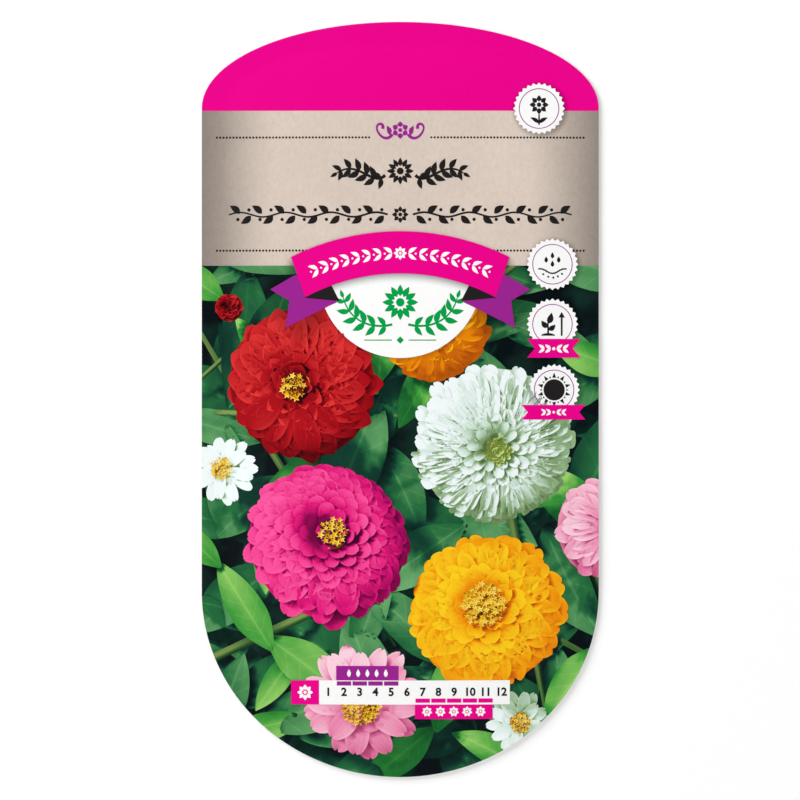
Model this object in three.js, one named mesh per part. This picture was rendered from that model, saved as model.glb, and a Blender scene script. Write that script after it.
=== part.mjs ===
// A sealed seed packet with a domed top and a round lower end, lying on its back.
// Millimetres, +X to the right across the printed front, +Y towards the domed top, +Z up out of the front.
// The origin is on the surface that the packet lies on, under the middle of its bounding box.
import * as THREE from "three";

// ---- Driving dimensions ----
const PACKET_WIDTH = 95;
const PACKET_LENGTH = 180.7;
const TOP_RISE = 20.6; // the domed top is half an ellipse this high
const BOTTOM_RISE = 44.3; // the round lower end is half an ellipse this deep
const BOARD_THICKNESS = 0.35; // printed board of the front and of the back
const GLUE_THICKNESS = 0.12; // adhesive between the two boards, all round the rim
const SEAM_WIDTH = 6; // how far the glued rim reaches in from the edge
const POCKET_RISE = 3.1; // how far the front swells above its rim over the seeds
const TOP_POCKET_RISE = 1.2; // the same at the domed end, where the pocket is nearly empty
const FULL_BELOW_Y = -10; // the pocket is at its fullest from here down
const SWELL_POWER = 2.2; // a higher power swells more steeply beside the rim

const SEED_COUNT = 48;
const SEED_LENGTH = 9;
const SEED_WIDTH = 3.6;
const SEED_THICKNESS = 0.9;
const SEED_PITCH = 10.2; // from one seed's middle to the next, more than a seed is long
const SEED_HEADROOM = 0.3; // least gap between a seed and the front board over it
const SEED_SIDE_GAP = 0.4; // least gap between one seed and the next
const SEED_FOOT_LENGTH = 2.6; // from the pointed foot to the end of its steep taper
const SEED_FOOT_SHARE = 0.62; // of the seed's width, where that taper ends
const SEED_SHOULDER_LENGTH = 1.7; // from the widest place to the teeth
const SEED_TOOTH_SHARE = 0.66; // of the seed's width, from the tip of one tooth to the other
const SEED_NOTCH_DEPTH = 0.9; // between the two teeth

// ---- Places that follow from them ----
const HALF_WIDTH = PACKET_WIDTH / 2;
const SPINE_TOP_Y = PACKET_LENGTH / 2 - TOP_RISE; // where the straight sides end
const SPINE_BOTTOM_Y = BOTTOM_RISE - PACKET_LENGTH / 2;
const POCKET_FLOOR_Z = BOARD_THICKNESS; // inner face of the back board
const RIM_Z = BOARD_THICKNESS + GLUE_THICKNESS; // underside of the front board at the rim

// ---- How finely the curves are drawn ----
const TOP_STEPS = 30;
const SIDE_STEPS = 10;
const BOTTOM_STEPS = 36;
const SWELL_STOPS = [0, 0.07, 0.17, 0.3, 0.47, 0.7, 1]; // from the rim's inner line to the middle
const SEAM_RADIUS = 0.9; // of the lathe whose edge is at 1, before its points are moved into place

// ---- How the seeds are strewn ----
const SEED_DRAW = 12; // another number strews them another way
const SEEDS_EITHER_SIDE = 4; // of the middle line, at most, in one row
const SEED_HEADINGS = 8; // how many ways a seed is turned to see whether it fits

const PAPER_FINISH = { roughness: 0.55, metalness: 0 };
const frontMaterial = new THREE.MeshStandardMaterial({ color: 0xd9cdbd, ...PAPER_FINISH });
const backMaterial = new THREE.MeshStandardMaterial({ color: 0xe9e1d3, ...PAPER_FINISH });
const glueMaterial = new THREE.MeshStandardMaterial({ color: 0xf3f0e4, roughness: 0.4, metalness: 0 });
const seedMaterial = new THREE.MeshStandardMaterial({ color: 0x7d6a50, roughness: 0.85, metalness: 0 });

// Repeatable random numbers from 0 to 1, so that the seeds always fall the same way.
function seededRandom(seed) {
  let state = seed;
  return () => {
    state = (state + 0x6d2b79f5) | 0;
    let mixed = Math.imul(state ^ (state >>> 15), 1 | state);
    mixed = (mixed + Math.imul(mixed ^ (mixed >>> 7), 61 | mixed)) ^ mixed;
    return ((mixed ^ (mixed >>> 14)) >>> 0) / 2 ** 32;
  };
}

// The point of the packet's middle line that a point of the plane belongs to.
function spineOf(y) {
  return THREE.MathUtils.clamp(y, SPINE_BOTTOM_Y, SPINE_TOP_Y);
}

// The packet's edge, brought in by the given distance: two straight sides between two half ellipses.
// It runs anticlockwise as seen from above and ends on the point where it starts.
function edgePoints(inset = 0) {
  const halfWidth = HALF_WIDTH - inset;
  const points = [];
  const arc = (centreY, rise, from, steps) => {
    for (let step = 0; step <= steps; step += 1) {
      const angle = from + (Math.PI * step) / steps;
      points.push(new THREE.Vector2(halfWidth * Math.cos(angle), centreY + rise * Math.sin(angle)));
    }
  };
  const side = (x, fromY, toY) => {
    for (let step = 1; step < SIDE_STEPS; step += 1) {
      points.push(new THREE.Vector2(x, THREE.MathUtils.lerp(fromY, toY, step / SIDE_STEPS)));
    }
  };
  arc(SPINE_TOP_Y, TOP_RISE - inset, 0, TOP_STEPS);
  side(-halfWidth, SPINE_TOP_Y, SPINE_BOTTOM_Y);
  arc(SPINE_BOTTOM_Y, BOTTOM_RISE - inset, Math.PI, BOTTOM_STEPS);
  side(halfWidth, SPINE_BOTTOM_Y, SPINE_TOP_Y);
  points.push(points[0].clone());
  return points;
}

// How far the front board rises above its rim: stop is 0 at the rim's inner line and 1 on the middle line.
function swell(stop, spineY) {
  const towardsTop = THREE.MathUtils.smoothstep(spineY, FULL_BELOW_Y, SPINE_TOP_Y);
  const crest = THREE.MathUtils.lerp(POCKET_RISE, TOP_POCKET_RISE, towardsTop);
  return crest * (1 - (1 - stop) ** SWELL_POWER);
}

// The height of the pocket over a point inside the rim.
function pocketHeight(x, y) {
  const spineY = spineOf(y);
  const rise = y > spineY ? TOP_RISE : BOTTOM_RISE;
  const share = Math.hypot(x / HALF_WIDTH, (y - spineY) / rise); // 0 on the middle line, 1 on the edge
  const reach = Math.hypot(x, y - spineY) / Math.max(share, Number.EPSILON);
  const stop = (reach * (1 - share) - SEAM_WIDTH) / (reach - SEAM_WIDTH);
  return GLUE_THICKNESS + swell(THREE.MathUtils.clamp(stop, 0, 1), spineY);
}

// The front: one board, flat on the glued rim and swollen over the pocket.
// A lathe gives the mesh its order, out along the underside and back over the top, and each of its
// points is then moved to its place between the edge and the middle line.
function frontPanel() {
  const inward = SWELL_STOPS.map((stop) => ({ stop, onRim: false }));
  const rings = [{ stop: 0, onRim: true }, ...inward];
  const profile = [
    ...rings.toReversed().map((ring) => ({ ...ring, z: RIM_Z })),
    ...rings.map((ring) => ({ ...ring, z: RIM_Z + BOARD_THICKNESS })),
  ];
  const edge = edgePoints();
  const lathe = new THREE.LatheGeometry(
    profile.map((place) => new THREE.Vector2(place.onRim ? 1 : SEAM_RADIUS * (1 - place.stop), place.z)),
    edge.length - 1,
  );
  const position = lathe.getAttribute("position");
  edge.forEach((point, column) => {
    const spineY = spineOf(point.y);
    const reach = Math.hypot(point.x, point.y - spineY);
    profile.forEach((place, row) => {
      const inwards = place.onRim ? 0 : SEAM_WIDTH + (reach - SEAM_WIDTH) * place.stop;
      const share = 1 - inwards / reach;
      const rise = place.onRim ? 0 : swell(place.stop, spineY);
      position.setXYZ(
        column * profile.length + row,
        point.x * share,
        spineY + (point.y - spineY) * share,
        place.z + rise,
      );
    });
  });
  lathe.computeVertexNormals();
  const mesh = new THREE.Mesh(lathe, frontMaterial);
  mesh.name = "front_panel";
  return mesh;
}

// The back: the same outline, cut from flat board.
function backPanel() {
  const outline = new THREE.Shape(edgePoints().slice(0, -1));
  const board = new THREE.ExtrudeGeometry(outline, { depth: BOARD_THICKNESS, bevelEnabled: false });
  const mesh = new THREE.Mesh(board, backMaterial);
  mesh.name = "back_panel";
  return mesh;
}

// The glue: a flat band all round the rim, between the two boards.
function glueSeam() {
  const outline = new THREE.Shape(edgePoints().slice(0, -1));
  outline.holes.push(new THREE.Path(edgePoints(SEAM_WIDTH).slice(0, -1)));
  const band = new THREE.ExtrudeGeometry(outline, { depth: GLUE_THICKNESS, bevelEnabled: false });
  const mesh = new THREE.Mesh(band, glueMaterial);
  mesh.name = "glue_seam";
  mesh.position.z = BOARD_THICKNESS;
  return mesh;
}

// One flat, wedge-shaped seed, pointed at its foot, with two short teeth at its head. It lies along X.
function seedGeometry() {
  const footX = -SEED_LENGTH / 2;
  const headX = SEED_LENGTH / 2;
  const halfWidth = SEED_WIDTH / 2;
  const side = [
    [footX + SEED_FOOT_LENGTH, halfWidth * SEED_FOOT_SHARE],
    [headX - SEED_SHOULDER_LENGTH, halfWidth],
    [headX, halfWidth * SEED_TOOTH_SHARE],
  ];
  const outline = new THREE.Shape();
  outline.moveTo(footX, 0);
  side.forEach(([x, y]) => outline.lineTo(x, -y));
  outline.lineTo(headX - SEED_NOTCH_DEPTH, 0);
  side.toReversed().forEach(([x, y]) => outline.lineTo(x, y));
  outline.closePath();
  const chamfer = SEED_THICKNESS / 3;
  const seed = new THREE.ExtrudeGeometry(outline, {
    depth: SEED_THICKNESS - 2 * chamfer,
    bevelThickness: chamfer,
    bevelSize: chamfer,
    bevelOffset: -chamfer,
    bevelSegments: 1,
  });
  return seed.translate(0, 0, chamfer); // its flat belly is at height 0
}

// Whether a seed of any heading would fit under the front board at this place.
function seedFits(x, y) {
  const room = SEED_THICKNESS + SEED_HEADROOM;
  return Array.from({ length: SEED_HEADINGS }, (_, turn) => turn / SEED_HEADINGS).every((turns) => {
    const angle = 2 * Math.PI * turns;
    const alongX = x + (SEED_LENGTH / 2) * Math.cos(angle);
    const alongY = y + (SEED_LENGTH / 2) * Math.sin(angle);
    return pocketHeight(alongX, alongY) > room;
  });
}

// The seeds have slid to the round end of the pocket, and lie there in one loose layer.
function seedPlaces() {
  const places = [];
  const rowPitch = (SEED_PITCH * Math.sqrt(3)) / 2;
  for (let row = 0; places.length < SEED_COUNT; row += 1) {
    const y = -PACKET_LENGTH / 2 + SEAM_WIDTH + SEED_LENGTH + row * rowPitch;
    const start = row % 2 ? SEED_PITCH / 2 : 0;
    for (let place = -SEEDS_EITHER_SIDE; place <= SEEDS_EITHER_SIDE; place += 1) {
      const x = start + place * SEED_PITCH;
      if (seedFits(x, y) && places.length < SEED_COUNT) places.push({ x, y });
    }
  }
  return places;
}

function seeds() {
  const random = seededRandom(SEED_DRAW);
  const shape = seedGeometry();
  const drift = (SEED_PITCH - SEED_LENGTH - SEED_SIDE_GAP) / 2; // keeps the seeds clear of one another
  return seedPlaces().map(({ x, y }, index) => {
    const mesh = new THREE.Mesh(shape, seedMaterial);
    mesh.name = `seed_${String(index + 1).padStart(2, "0")}`;
    mesh.rotation.z = 2 * Math.PI * random();
    mesh.position.set(
      x + drift * (2 * random() - 1),
      y + drift * (2 * random() - 1),
      POCKET_FLOOR_Z,
    );
    return mesh;
  });
}

const packet = new THREE.Group();
packet.add(backPanel(), glueSeam(), frontPanel(), ...seeds());

export default packet;
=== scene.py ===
"""Looks of a sealed seed packet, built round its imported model.

Shapes are worked out in millimetres in the packet's own frame: +X to the right across the printed front,
+Y towards the domed top, +Z up out of the front. Each mesh is brought to metres when its piece is made.
"""

from __future__ import annotations

import logging
import math
import random
from collections.abc import Iterable, Sequence
from dataclasses import dataclass, field, replace
from enum import Enum
from functools import reduce
from typing import Any

import bmesh
import bpy
from mathutils import Matrix, Vector, noise
from mathutils.bvhtree import BVHTree
from mathutils.geometry import interpolate_bezier

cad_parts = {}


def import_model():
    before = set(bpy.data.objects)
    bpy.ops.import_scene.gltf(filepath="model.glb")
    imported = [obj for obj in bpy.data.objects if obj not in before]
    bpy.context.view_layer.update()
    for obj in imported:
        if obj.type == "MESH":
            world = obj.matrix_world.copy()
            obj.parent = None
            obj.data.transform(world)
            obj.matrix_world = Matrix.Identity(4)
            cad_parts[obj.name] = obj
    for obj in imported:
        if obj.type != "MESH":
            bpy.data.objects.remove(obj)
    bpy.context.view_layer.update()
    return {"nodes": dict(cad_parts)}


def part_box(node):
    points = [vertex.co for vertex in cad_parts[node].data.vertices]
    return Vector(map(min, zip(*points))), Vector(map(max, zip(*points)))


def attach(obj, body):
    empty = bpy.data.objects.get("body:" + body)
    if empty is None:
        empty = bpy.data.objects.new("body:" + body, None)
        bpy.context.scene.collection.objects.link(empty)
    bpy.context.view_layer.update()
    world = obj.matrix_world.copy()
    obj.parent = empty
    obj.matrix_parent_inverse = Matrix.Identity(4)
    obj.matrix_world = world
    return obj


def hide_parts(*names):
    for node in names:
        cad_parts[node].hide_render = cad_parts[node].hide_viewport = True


MM = 0.001
PAPER_WHITE = 0.84
BODY = "root"
BAKE_MAP = "OFBake"
GOLDEN_ANGLE = math.pi * (3 - math.sqrt(5))
UP = Vector((0, 0, 1))

# How far apart a drawing is cut, in millimetres, so that it can follow the board under it.
CELL, SMALL_CELL, WIDE_CELL, UNCUT = 3.0, 6.0, 20.0, 100.0

Colour = tuple[float, float, float, float]
Point = tuple[float, float]
Pair = tuple[float, float]
Triple = tuple[float, float, float]
Socket = bpy.types.NodeSocket
Material = bpy.types.Material
BMesh = bmesh.types.BMesh

log = logging.getLogger("seed_packet")


def lerp(start: float, end: float, share: float) -> float:
    """The value that lies at a share of the way from start to end."""
    return start + (end - start) * share


def smoothstep(low: float, high: float, value: float) -> float:
    """A smooth rise from 0 at low to 1 at high."""
    share = min(1.0, max(0.0, (value - low) / (high - low)))
    return share * share * (3 - 2 * share)


def screen(red: int, green: int, blue: int) -> Colour:
    """The linear colour that ink has on white paper, from a screen's values of 0 to 255.

    Args:
        red: The screen's red, from 0 to 255.
        green: Its green.
        blue: Its blue.

    Returns:
        The colour, opaque.
    """
    def reflectance(value: int) -> float:
        """The share of light that one channel gives back."""
        share = value / 255
        return PAPER_WHITE * (share / 12.92 if share <= 0.04045 else ((share + 0.055) / 1.055) ** 2.4)
    return reflectance(red), reflectance(green), reflectance(blue), 1.0


# --- Outlines of flat printed shapes, as corners in millimetres ---


def polar(centre: Point, radius: float, degrees: float) -> Point:
    """The point at a radius and an angle from a centre."""
    angle = math.radians(degrees)
    return centre[0] + radius * math.cos(angle), centre[1] + radius * math.sin(angle)


def arc(centre: Point, radius: float, start: float, end: float, steps: int) -> list[Point]:
    """Points along an arc, one more than its steps, between two angles in degrees."""
    return [polar(centre, radius, lerp(start, end, step / steps)) for step in range(steps + 1)]


def circle(centre: Point, radius: float, corners: int = 32) -> list[Point]:
    """The corners of a circle."""
    return arc(centre, radius, 0, 360, corners)[:-1]


def star(centre: Point, outer: float, inner: float, points: int) -> list[Point]:
    """The corners of a star or a toothed disc, which starts at the top."""
    turns = [90 + number * 180 / points for number in range(2 * points)]
    return [polar(centre, inner if number % 2 else outer, turn) for number, turn in enumerate(turns)]


def rectangle(left: float, bottom: float, right: float, top: float) -> list[Point]:
    """The corners of an upright rectangle."""
    return [(left, bottom), (right, bottom), (right, top), (left, top)]


def on_side(side: int, points: Iterable[Point]) -> list[Point]:
    """Points drawn for the right side, or for -1 their mirror images on the left."""
    return [(side * x, y) for x, y in points]


def leaf_outline(foot: Point, length: float, width: float, degrees: float, bend: float = 0.0) -> list[Point]:
    """The corners of a small pointed leaf.

    Args:
        foot: Where it starts.
        length: From foot to tip.
        width: Across its widest place.
        degrees: The way it points.
        bend: How far its middle lies off the straight line, over its length.

    Returns:
        The corners, from the foot up one side and down the other.
    """
    steps = 5
    turn = math.radians(degrees)
    corners = []
    for side in (-1, 1):
        shares = [step / steps for step in range(steps)]
        for share in shares if side < 0 else [1 - share for share in shares]:
            half = side * width / 2 * math.sin(math.pi * share ** 0.8)
            x, y = length * share, half + length * bend * 4 * share * (1 - share)
            corners.append((foot[0] + x * math.cos(turn) - y * math.sin(turn),
                            foot[1] + x * math.sin(turn) + y * math.cos(turn)))
    return corners


def curve(start: Point, out: Point, back: Point, end: Point, steps: int = 12) -> list[Point]:
    """Points along a smooth curve from start to end, which leaves towards out and comes in from back."""
    knots = [Vector((*point, 0)) for point in (start, out, back, end)]
    return [(point.x, point.y) for point in interpolate_bezier(*knots, steps)]


def stroke(line: Sequence[Point], widths: Pair) -> list[Point]:
    """The corners of a pen stroke along a line.

    Args:
        line: Points along its middle.
        widths: Its width at the start and at the end.

    Returns:
        The corners, up one side and down the other.
    """
    sides: tuple[list[Point], list[Point]] = ([], [])
    last = len(line) - 1
    for number, (x, y) in enumerate(line):
        before, after = line[max(0, number - 1)], line[min(last, number + 1)]
        along = Vector((after[0] - before[0], after[1] - before[1])).normalized()
        half = lerp(*widths, number / last) / 2
        sides[0].append((x + along.y * half, y - along.x * half))
        sides[1].append((x - along.y * half, y + along.x * half))
    return sides[0] + sides[1][::-1]


# --- The packet's form ---


@dataclass(frozen=True)
class PacketForm:
    """The packet's outline and the height of its front, in millimetres."""

    half_width: float
    half_length: float
    board: float
    rim_top: float
    top_rise: float = 20.6
    bottom_rise: float = 44.3
    seam_width: float = 6.0
    pocket_rise: float = 3.1
    top_pocket_rise: float = 1.2
    full_below_y: float = -10.0
    swell_power: float = 2.2
    ripple: float = 0.06
    ripple_length: float = 19.0
    rim_steps: int = 48

    @classmethod
    def from_frame(cls) -> PacketForm:
        """The form whose width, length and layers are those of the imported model.

        Returns:
            The form.
        """
        low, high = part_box("front_panel")
        back_low, back_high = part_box("back_panel")
        board = (back_high.z - back_low.z) / MM
        rim_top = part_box("glue_seam")[1].z / MM + board
        return cls((high.x - low.x) / 2 / MM, (high.y - low.y) / 2 / MM, board, rim_top)

    @property
    def spine_top(self) -> float:
        """Where the straight sides end and the dome starts."""
        return self.half_length - self.top_rise

    @property
    def spine_bottom(self) -> float:
        """Where the straight sides end and the round lower end starts."""
        return self.bottom_rise - self.half_length

    def spine_y(self, y: float) -> float:
        """The point of the middle line that a height along the packet belongs to."""
        return min(self.spine_top, max(self.spine_bottom, y))

    def half_width_at(self, y: float) -> float:
        """Half the packet's width at a height along it."""
        share = min(1.0, abs(y - self.spine_y(y)) / (self.top_rise if y > 0 else self.bottom_rise))
        return self.half_width * math.sqrt(1 - share * share)

    def openness(self, x: float, y: float) -> float:
        """How far a place lies in from the glued rim, from 0 on the rim to 1 on the middle line.

        Args:
            x: A place across the packet.
            y: A place along it.

        Returns:
            The share of the way in.
        """
        spine_y = self.spine_y(y)
        rise = self.top_rise if y > spine_y else self.bottom_rise
        share = math.hypot(x / self.half_width, (y - spine_y) / rise)
        if share < 1e-6:
            return 1.0
        reach = math.hypot(x, y - spine_y) / share
        return min(1.0, max(0.0, (reach * (1 - share) - self.seam_width) / (reach - self.seam_width)))

    def height(self, x: float, y: float) -> float:
        """The height of the front's printed face, with the faint ripple of handled board.

        Args:
            x: A place across the packet.
            y: A place along it.

        Returns:
            The height above the back's underside.
        """
        openness = self.openness(x, y)
        towards_top = smoothstep(self.full_below_y, self.spine_top, self.spine_y(y))
        crest = lerp(self.pocket_rise, self.top_pocket_rise, towards_top)
        place = Vector((x, y, 0)) / self.ripple_length
        ripple = self.ripple * noise.noise(place) * smoothstep(0, 0.3, openness)
        return self.rim_top + crest * (1 - (1 - openness) ** self.swell_power) + ripple

    def normal(self, x: float, y: float) -> Vector:
        """The way that the front faces at a place."""
        step, here = 0.5, self.height(x, y)
        return Vector((here - self.height(x + step, y), here - self.height(x, y + step), step)).normalized()

    def rim_point(self, degrees: float, inset: float) -> Vector:
        """A point of the round lower end, at an inset from its edge.

        Args:
            degrees: The way from the end's own centre.
            inset: How far it lies in.

        Returns:
            The point, at height 0.
        """
        angle = math.radians(degrees)
        reach = 1 / math.hypot(math.cos(angle) / self.half_width, math.sin(angle) / self.bottom_rise) - inset
        return Vector((reach * math.cos(angle), self.spine_bottom + reach * math.sin(angle), 0))

    def edge_planes(self, steps: int, inset: float = 0.0) -> list[tuple[Vector, Vector]]:
        """Upright planes round the picture's part of the edge.

        Args:
            steps: Number of planes round the lower end.
            inset: How far they stand in from the edge.

        Returns:
            Each plane as a point and the way out.
        """
        reach = self.half_width - inset
        planes = [(Vector((side * reach, 0, 0)), Vector((side, 0, 0))) for side in (-1, 1)]
        corners = [self.rim_point(180 + 180 * step / steps, inset) for step in range(steps + 1)]
        for start, end in zip(corners, corners[1:]):
            planes.append((start, (end - start).normalized().cross(UP)))
        return planes


@dataclass(frozen=True)
class Layout:
    """Where the parts of the print stand on the front, in millimetres."""

    cap_from_y: float = 69.04
    picture_to_y: float = 32.0
    ribbon_centre: Point = (0.0, -18.3)
    ribbon_outer: float = 58.5
    ribbon_inner: float = 48.4
    ribbon_ends: Pair = (26.5, 28.0)
    badge_centre: Point = (0.0, 29.4)
    badge_radius: float = 19.5
    seal_radius: float = 6.2
    seals: tuple[Point, ...] = ((33.2, 69.6), (36.4, 32.35), (36.4, 18.0), (36.8, 2.3))
    tail_shadows: tuple[Point, ...] = ((-23.5, 22.6), (23.5, 22.6))

    @property
    def ribbon_middle(self) -> float:
        """The radius of the ribbon's middle line."""
        return (self.ribbon_outer + self.ribbon_inner) / 2


class Level(Enum):
    """How high the ink layers' faces stand above the board in millimetres, and SINK their undersides."""

    KRAFT = 0.02
    PICTURE = 0.015
    UNDER = 0.15
    MIDDLE = 0.17
    OVER = 0.19
    TOP = 0.21
    RAISED = 0.23
    SINK = -0.02


def flip_up(bm: BMesh) -> None:
    """Turns the faces that look down, so that every face looks up.

    Args:
        bm: The mesh.
    """
    bm.normal_update()
    bmesh.ops.reverse_faces(bm, faces=[face for face in bm.faces if face.normal.z < 0])
    bm.normal_update()


def cut_along(bm: BMesh, place: Sequence[float], across: Sequence[float],
              reach: float | None = None) -> None:
    """Cuts a mesh along a plane, and takes nothing away.

    Args:
        bm: The mesh.
        place: A point of the plane.
        across: The plane's normal.
        reach: How far from that point the cut goes, or none for the whole mesh.
    """
    faces = bm.faces[:]
    if reach is not None:
        faces = [face for face in faces if (face.calc_center_median() - place).length < reach]
    edges = {edge for face in faces for edge in face.edges}
    verts = {vert for face in faces for vert in face.verts}
    bmesh.ops.bisect_plane(bm, geom=[*verts, *edges, *faces], dist=1e-5, plane_co=place, plane_no=across)


def sharpen(bm: BMesh, angle: float = 0.6) -> None:
    """Marks the edges where two faces meet at more than an angle in radians as sharp."""
    for edge in bm.edges:
        edge.smooth = edge.calc_face_angle(0.0) < angle


def map_from_above(bm: BMesh) -> None:
    """Gives a flat piece a map named OFBake, of its faces as they are seen from above.

    Args:
        bm: The piece's mesh.
    """
    layer = bm.loops.layers.uv.new(BAKE_MAP)
    left, bottom = min(vert.co.x for vert in bm.verts), min(vert.co.y for vert in bm.verts)
    width, length = max(vert.co.x for vert in bm.verts) - left, max(vert.co.y for vert in bm.verts) - bottom
    for face in bm.faces:
        for loop in face.loops:
            co = loop.vert.co
            loop[layer].uv = (0.01 + 0.98 * (co.x - left) / width, 0.01 + 0.98 * (co.y - bottom) / length)


def make_piece(
    bm: BMesh,
    name: str,
    materials: Sequence[Material],
    replaces: Iterable[str] = (),
) -> bpy.types.Object:
    """Makes a finished piece that rides on the packet.

    Args:
        bm: The piece's mesh in millimetres, which is used up.
        name: The piece's name.
        materials: Its materials, in the order of its faces' material numbers.
        replaces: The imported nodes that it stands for.

    Returns:
        The piece, in metres, with its object at the origin.
    """
    bmesh.ops.scale(bm, vec=(MM, MM, MM), verts=bm.verts[:])
    for face in bm.faces:
        face.smooth = True
    mesh = bpy.data.meshes.new(name)
    bm.to_mesh(mesh)
    bm.free()
    for material in materials:
        mesh.materials.append(material)
    piece = bpy.data.objects.new(name, mesh)
    bpy.context.scene.collection.objects.link(piece)
    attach(piece, BODY)
    if replaces:
        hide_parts(*replaces)
    log.info("%s: %d faces", name, len(mesh.polygons))
    return piece


# --- Finishes ---


class NodeBench:
    """Adds nodes to one node tree and wires them."""

    def __init__(self, tree: bpy.types.NodeTree) -> None:
        """Works on the given tree."""
        self.tree = tree

    def node(self, kind: str, inputs: dict[str | int, Any] | None = None, **settings: Any) -> bpy.types.Node:
        """Adds a node.

        Args:
            kind: The node's type, without its ShaderNode prefix.
            inputs: A value or an output to link, by the input's name or number.
            settings: The node's own settings.

        Returns:
            The node.
        """
        made = self.tree.nodes.new("ShaderNode" + kind)
        for name, value in settings.items():
            setattr(made, name, value)
        for key, value in (inputs or {}).items():
            self.feed(made.inputs[key], value)
        return made

    def feed(self, socket: Socket, value: Any) -> None:
        """Links an output to a socket, or sets the socket's plain value.

        Args:
            socket: The socket.
            value: The output or the value.
        """
        if isinstance(value, Socket):
            self.tree.links.new(value, socket)
        else:
            socket.default_value = value

    def sum(self, kind: str, first: Any, second: Any = 0.0, third: Any = 0.0) -> Socket:
        """The result of one arithmetic step, such as ADD or MULTIPLY."""
        return self.node("Math", {0: first, 1: second, 2: third}, operation=kind).outputs[0]

    def fold(self, kind: str, *values: Any) -> Socket:
        """One arithmetic step taken through several values, as for their product or their largest."""
        return reduce(lambda total, value: self.sum(kind, total, value), values)

    def span(self, value: Any, low: float, high: float, out_low: float = 0.0,
             out_high: float = 1.0, ease: str = "SMOOTHSTEP") -> Socket:
        """A value's place between low and high, brought to another range."""
        inputs = {"Value": value, "From Min": low, "From Max": high, "To Min": out_low, "To Max": out_high}
        return self.node("MapRange", inputs, interpolation_type=ease).outputs["Result"]

    def gain(self, colour: Any, gain: Any) -> Socket:
        """A colour made lighter or darker by a factor."""
        start = colour if isinstance(colour, Socket) else colour[:3]
        return self.node("VectorMath", {0: start, "Scale": gain}, operation="SCALE").outputs[0]

    def ramp(self, value: Any, stops: Sequence[tuple[float, Colour]]) -> Socket:
        """A colour that runs through several stops as a value rises.

        Args:
            value: The value.
            stops: Each stop's place on the way and its colour.

        Returns:
            The colour.
        """
        made = self.node("ValToRGB", {0: value})
        elements = made.color_ramp.elements
        while len(elements) < len(stops):
            elements.new(0.5)
        for element, (position, colour) in zip(elements, stops):
            element.position = position
            element.color = colour
        return made.outputs[0]

    def attribute(self, name: str) -> Socket:
        """A number that the mesh's own vertices hold."""
        return self.node("Attribute", attribute_name=name).outputs["Fac"]

    def place(self, scale: Triple = (1, 1, 1)) -> Socket:
        """Object coordinates, stretched by a scale."""
        source = self.node("TexCoord").outputs["Object"]
        return self.node("Mapping", {"Vector": source, "Scale": scale}).outputs[0]

    def axes(self) -> bpy.types.NodeOutputs:
        """Object coordinates in millimetres, X, Y and Z apart."""
        return self.node("SeparateXYZ", {0: self.place((1 / MM, 1 / MM, 1 / MM))}).outputs

    def distance(self, centre: Point) -> Socket:
        """The distance from a place on the front, seen from above, in millimetres."""
        flat = self.place((1 / MM, 1 / MM, 0.0))
        return self.node("VectorMath", {0: flat, 1: (*centre, 0.0)}, operation="DISTANCE").outputs["Value"]

    def noise(self, vector: Socket, scale: float, detail: float = 2.0) -> Socket:
        """Smooth random values from 0 to 1."""
        return self.node("TexNoise", {"Vector": vector, "Scale": scale, "Detail": detail}).outputs[0]

    def cloud(self, scale: float, low: float, high: float, detail: float = 2.0,
              stretch: Triple = (1, 1, 1)) -> Socket:
        """Soft random patches between a low and a high value."""
        return self.span(self.noise(self.place(stretch), scale, detail), 0.3, 0.7, low, high, "LINEAR")

    def group(self, tree: bpy.types.NodeTree) -> bpy.types.Node:
        """Places a shared group."""
        return self.node("Group", node_tree=tree)


def new_group(
    name: str,
    inputs: dict[str, float],
    outputs: Sequence[str],
) -> tuple[NodeBench, bpy.types.Node, bpy.types.Node]:
    """Starts a node group with number sockets.

    Args:
        name: The group's name.
        inputs: Its inputs and their usual values.
        outputs: Its outputs.

    Returns:
        A bench on its tree, its input node and its output node.
    """
    tree = bpy.data.node_groups.new(name, "ShaderNodeTree")
    for label, value in inputs.items():
        tree.interface.new_socket(label, in_out="INPUT", socket_type="NodeSocketFloat").default_value = value
    for label in outputs:
        tree.interface.new_socket(label, in_out="OUTPUT", socket_type="NodeSocketFloat")
    return NodeBench(tree), tree.nodes.new("NodeGroupInput"), tree.nodes.new("NodeGroupOutput")


def board_grain() -> bpy.types.NodeTree:
    """The tooth and the mottle of coated board, as Height from 0 to 1 and Mottle about 0.

    Returns:
        The group, made once.
    """
    name = "board_grain"
    if name in bpy.data.node_groups:
        return bpy.data.node_groups[name]
    bench, given, result = new_group(name, {"Tooth": 3200.0, "Fibre": 1100.0}, ["Height", "Mottle"])
    tooth = bench.noise(bench.place(), given.outputs["Tooth"], 2.0)
    fibre = bench.noise(bench.place((1.0, 0.6, 1.0)), given.outputs["Fibre"], 3.0)
    height = bench.sum("MULTIPLY_ADD", fibre, 0.6, bench.sum("MULTIPLY", tooth, 0.4))
    bench.feed(result.inputs["Height"], height)
    bench.feed(result.inputs["Mottle"], bench.sum("SUBTRACT", height, 0.5))
    return bench.tree


class Shade(Enum):
    """Which of the printed shadows fall on a surface, each by the name of the shadows' output."""

    NONE = ""
    ALL = "Light"
    RIBBON = "Ribbon"


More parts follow.
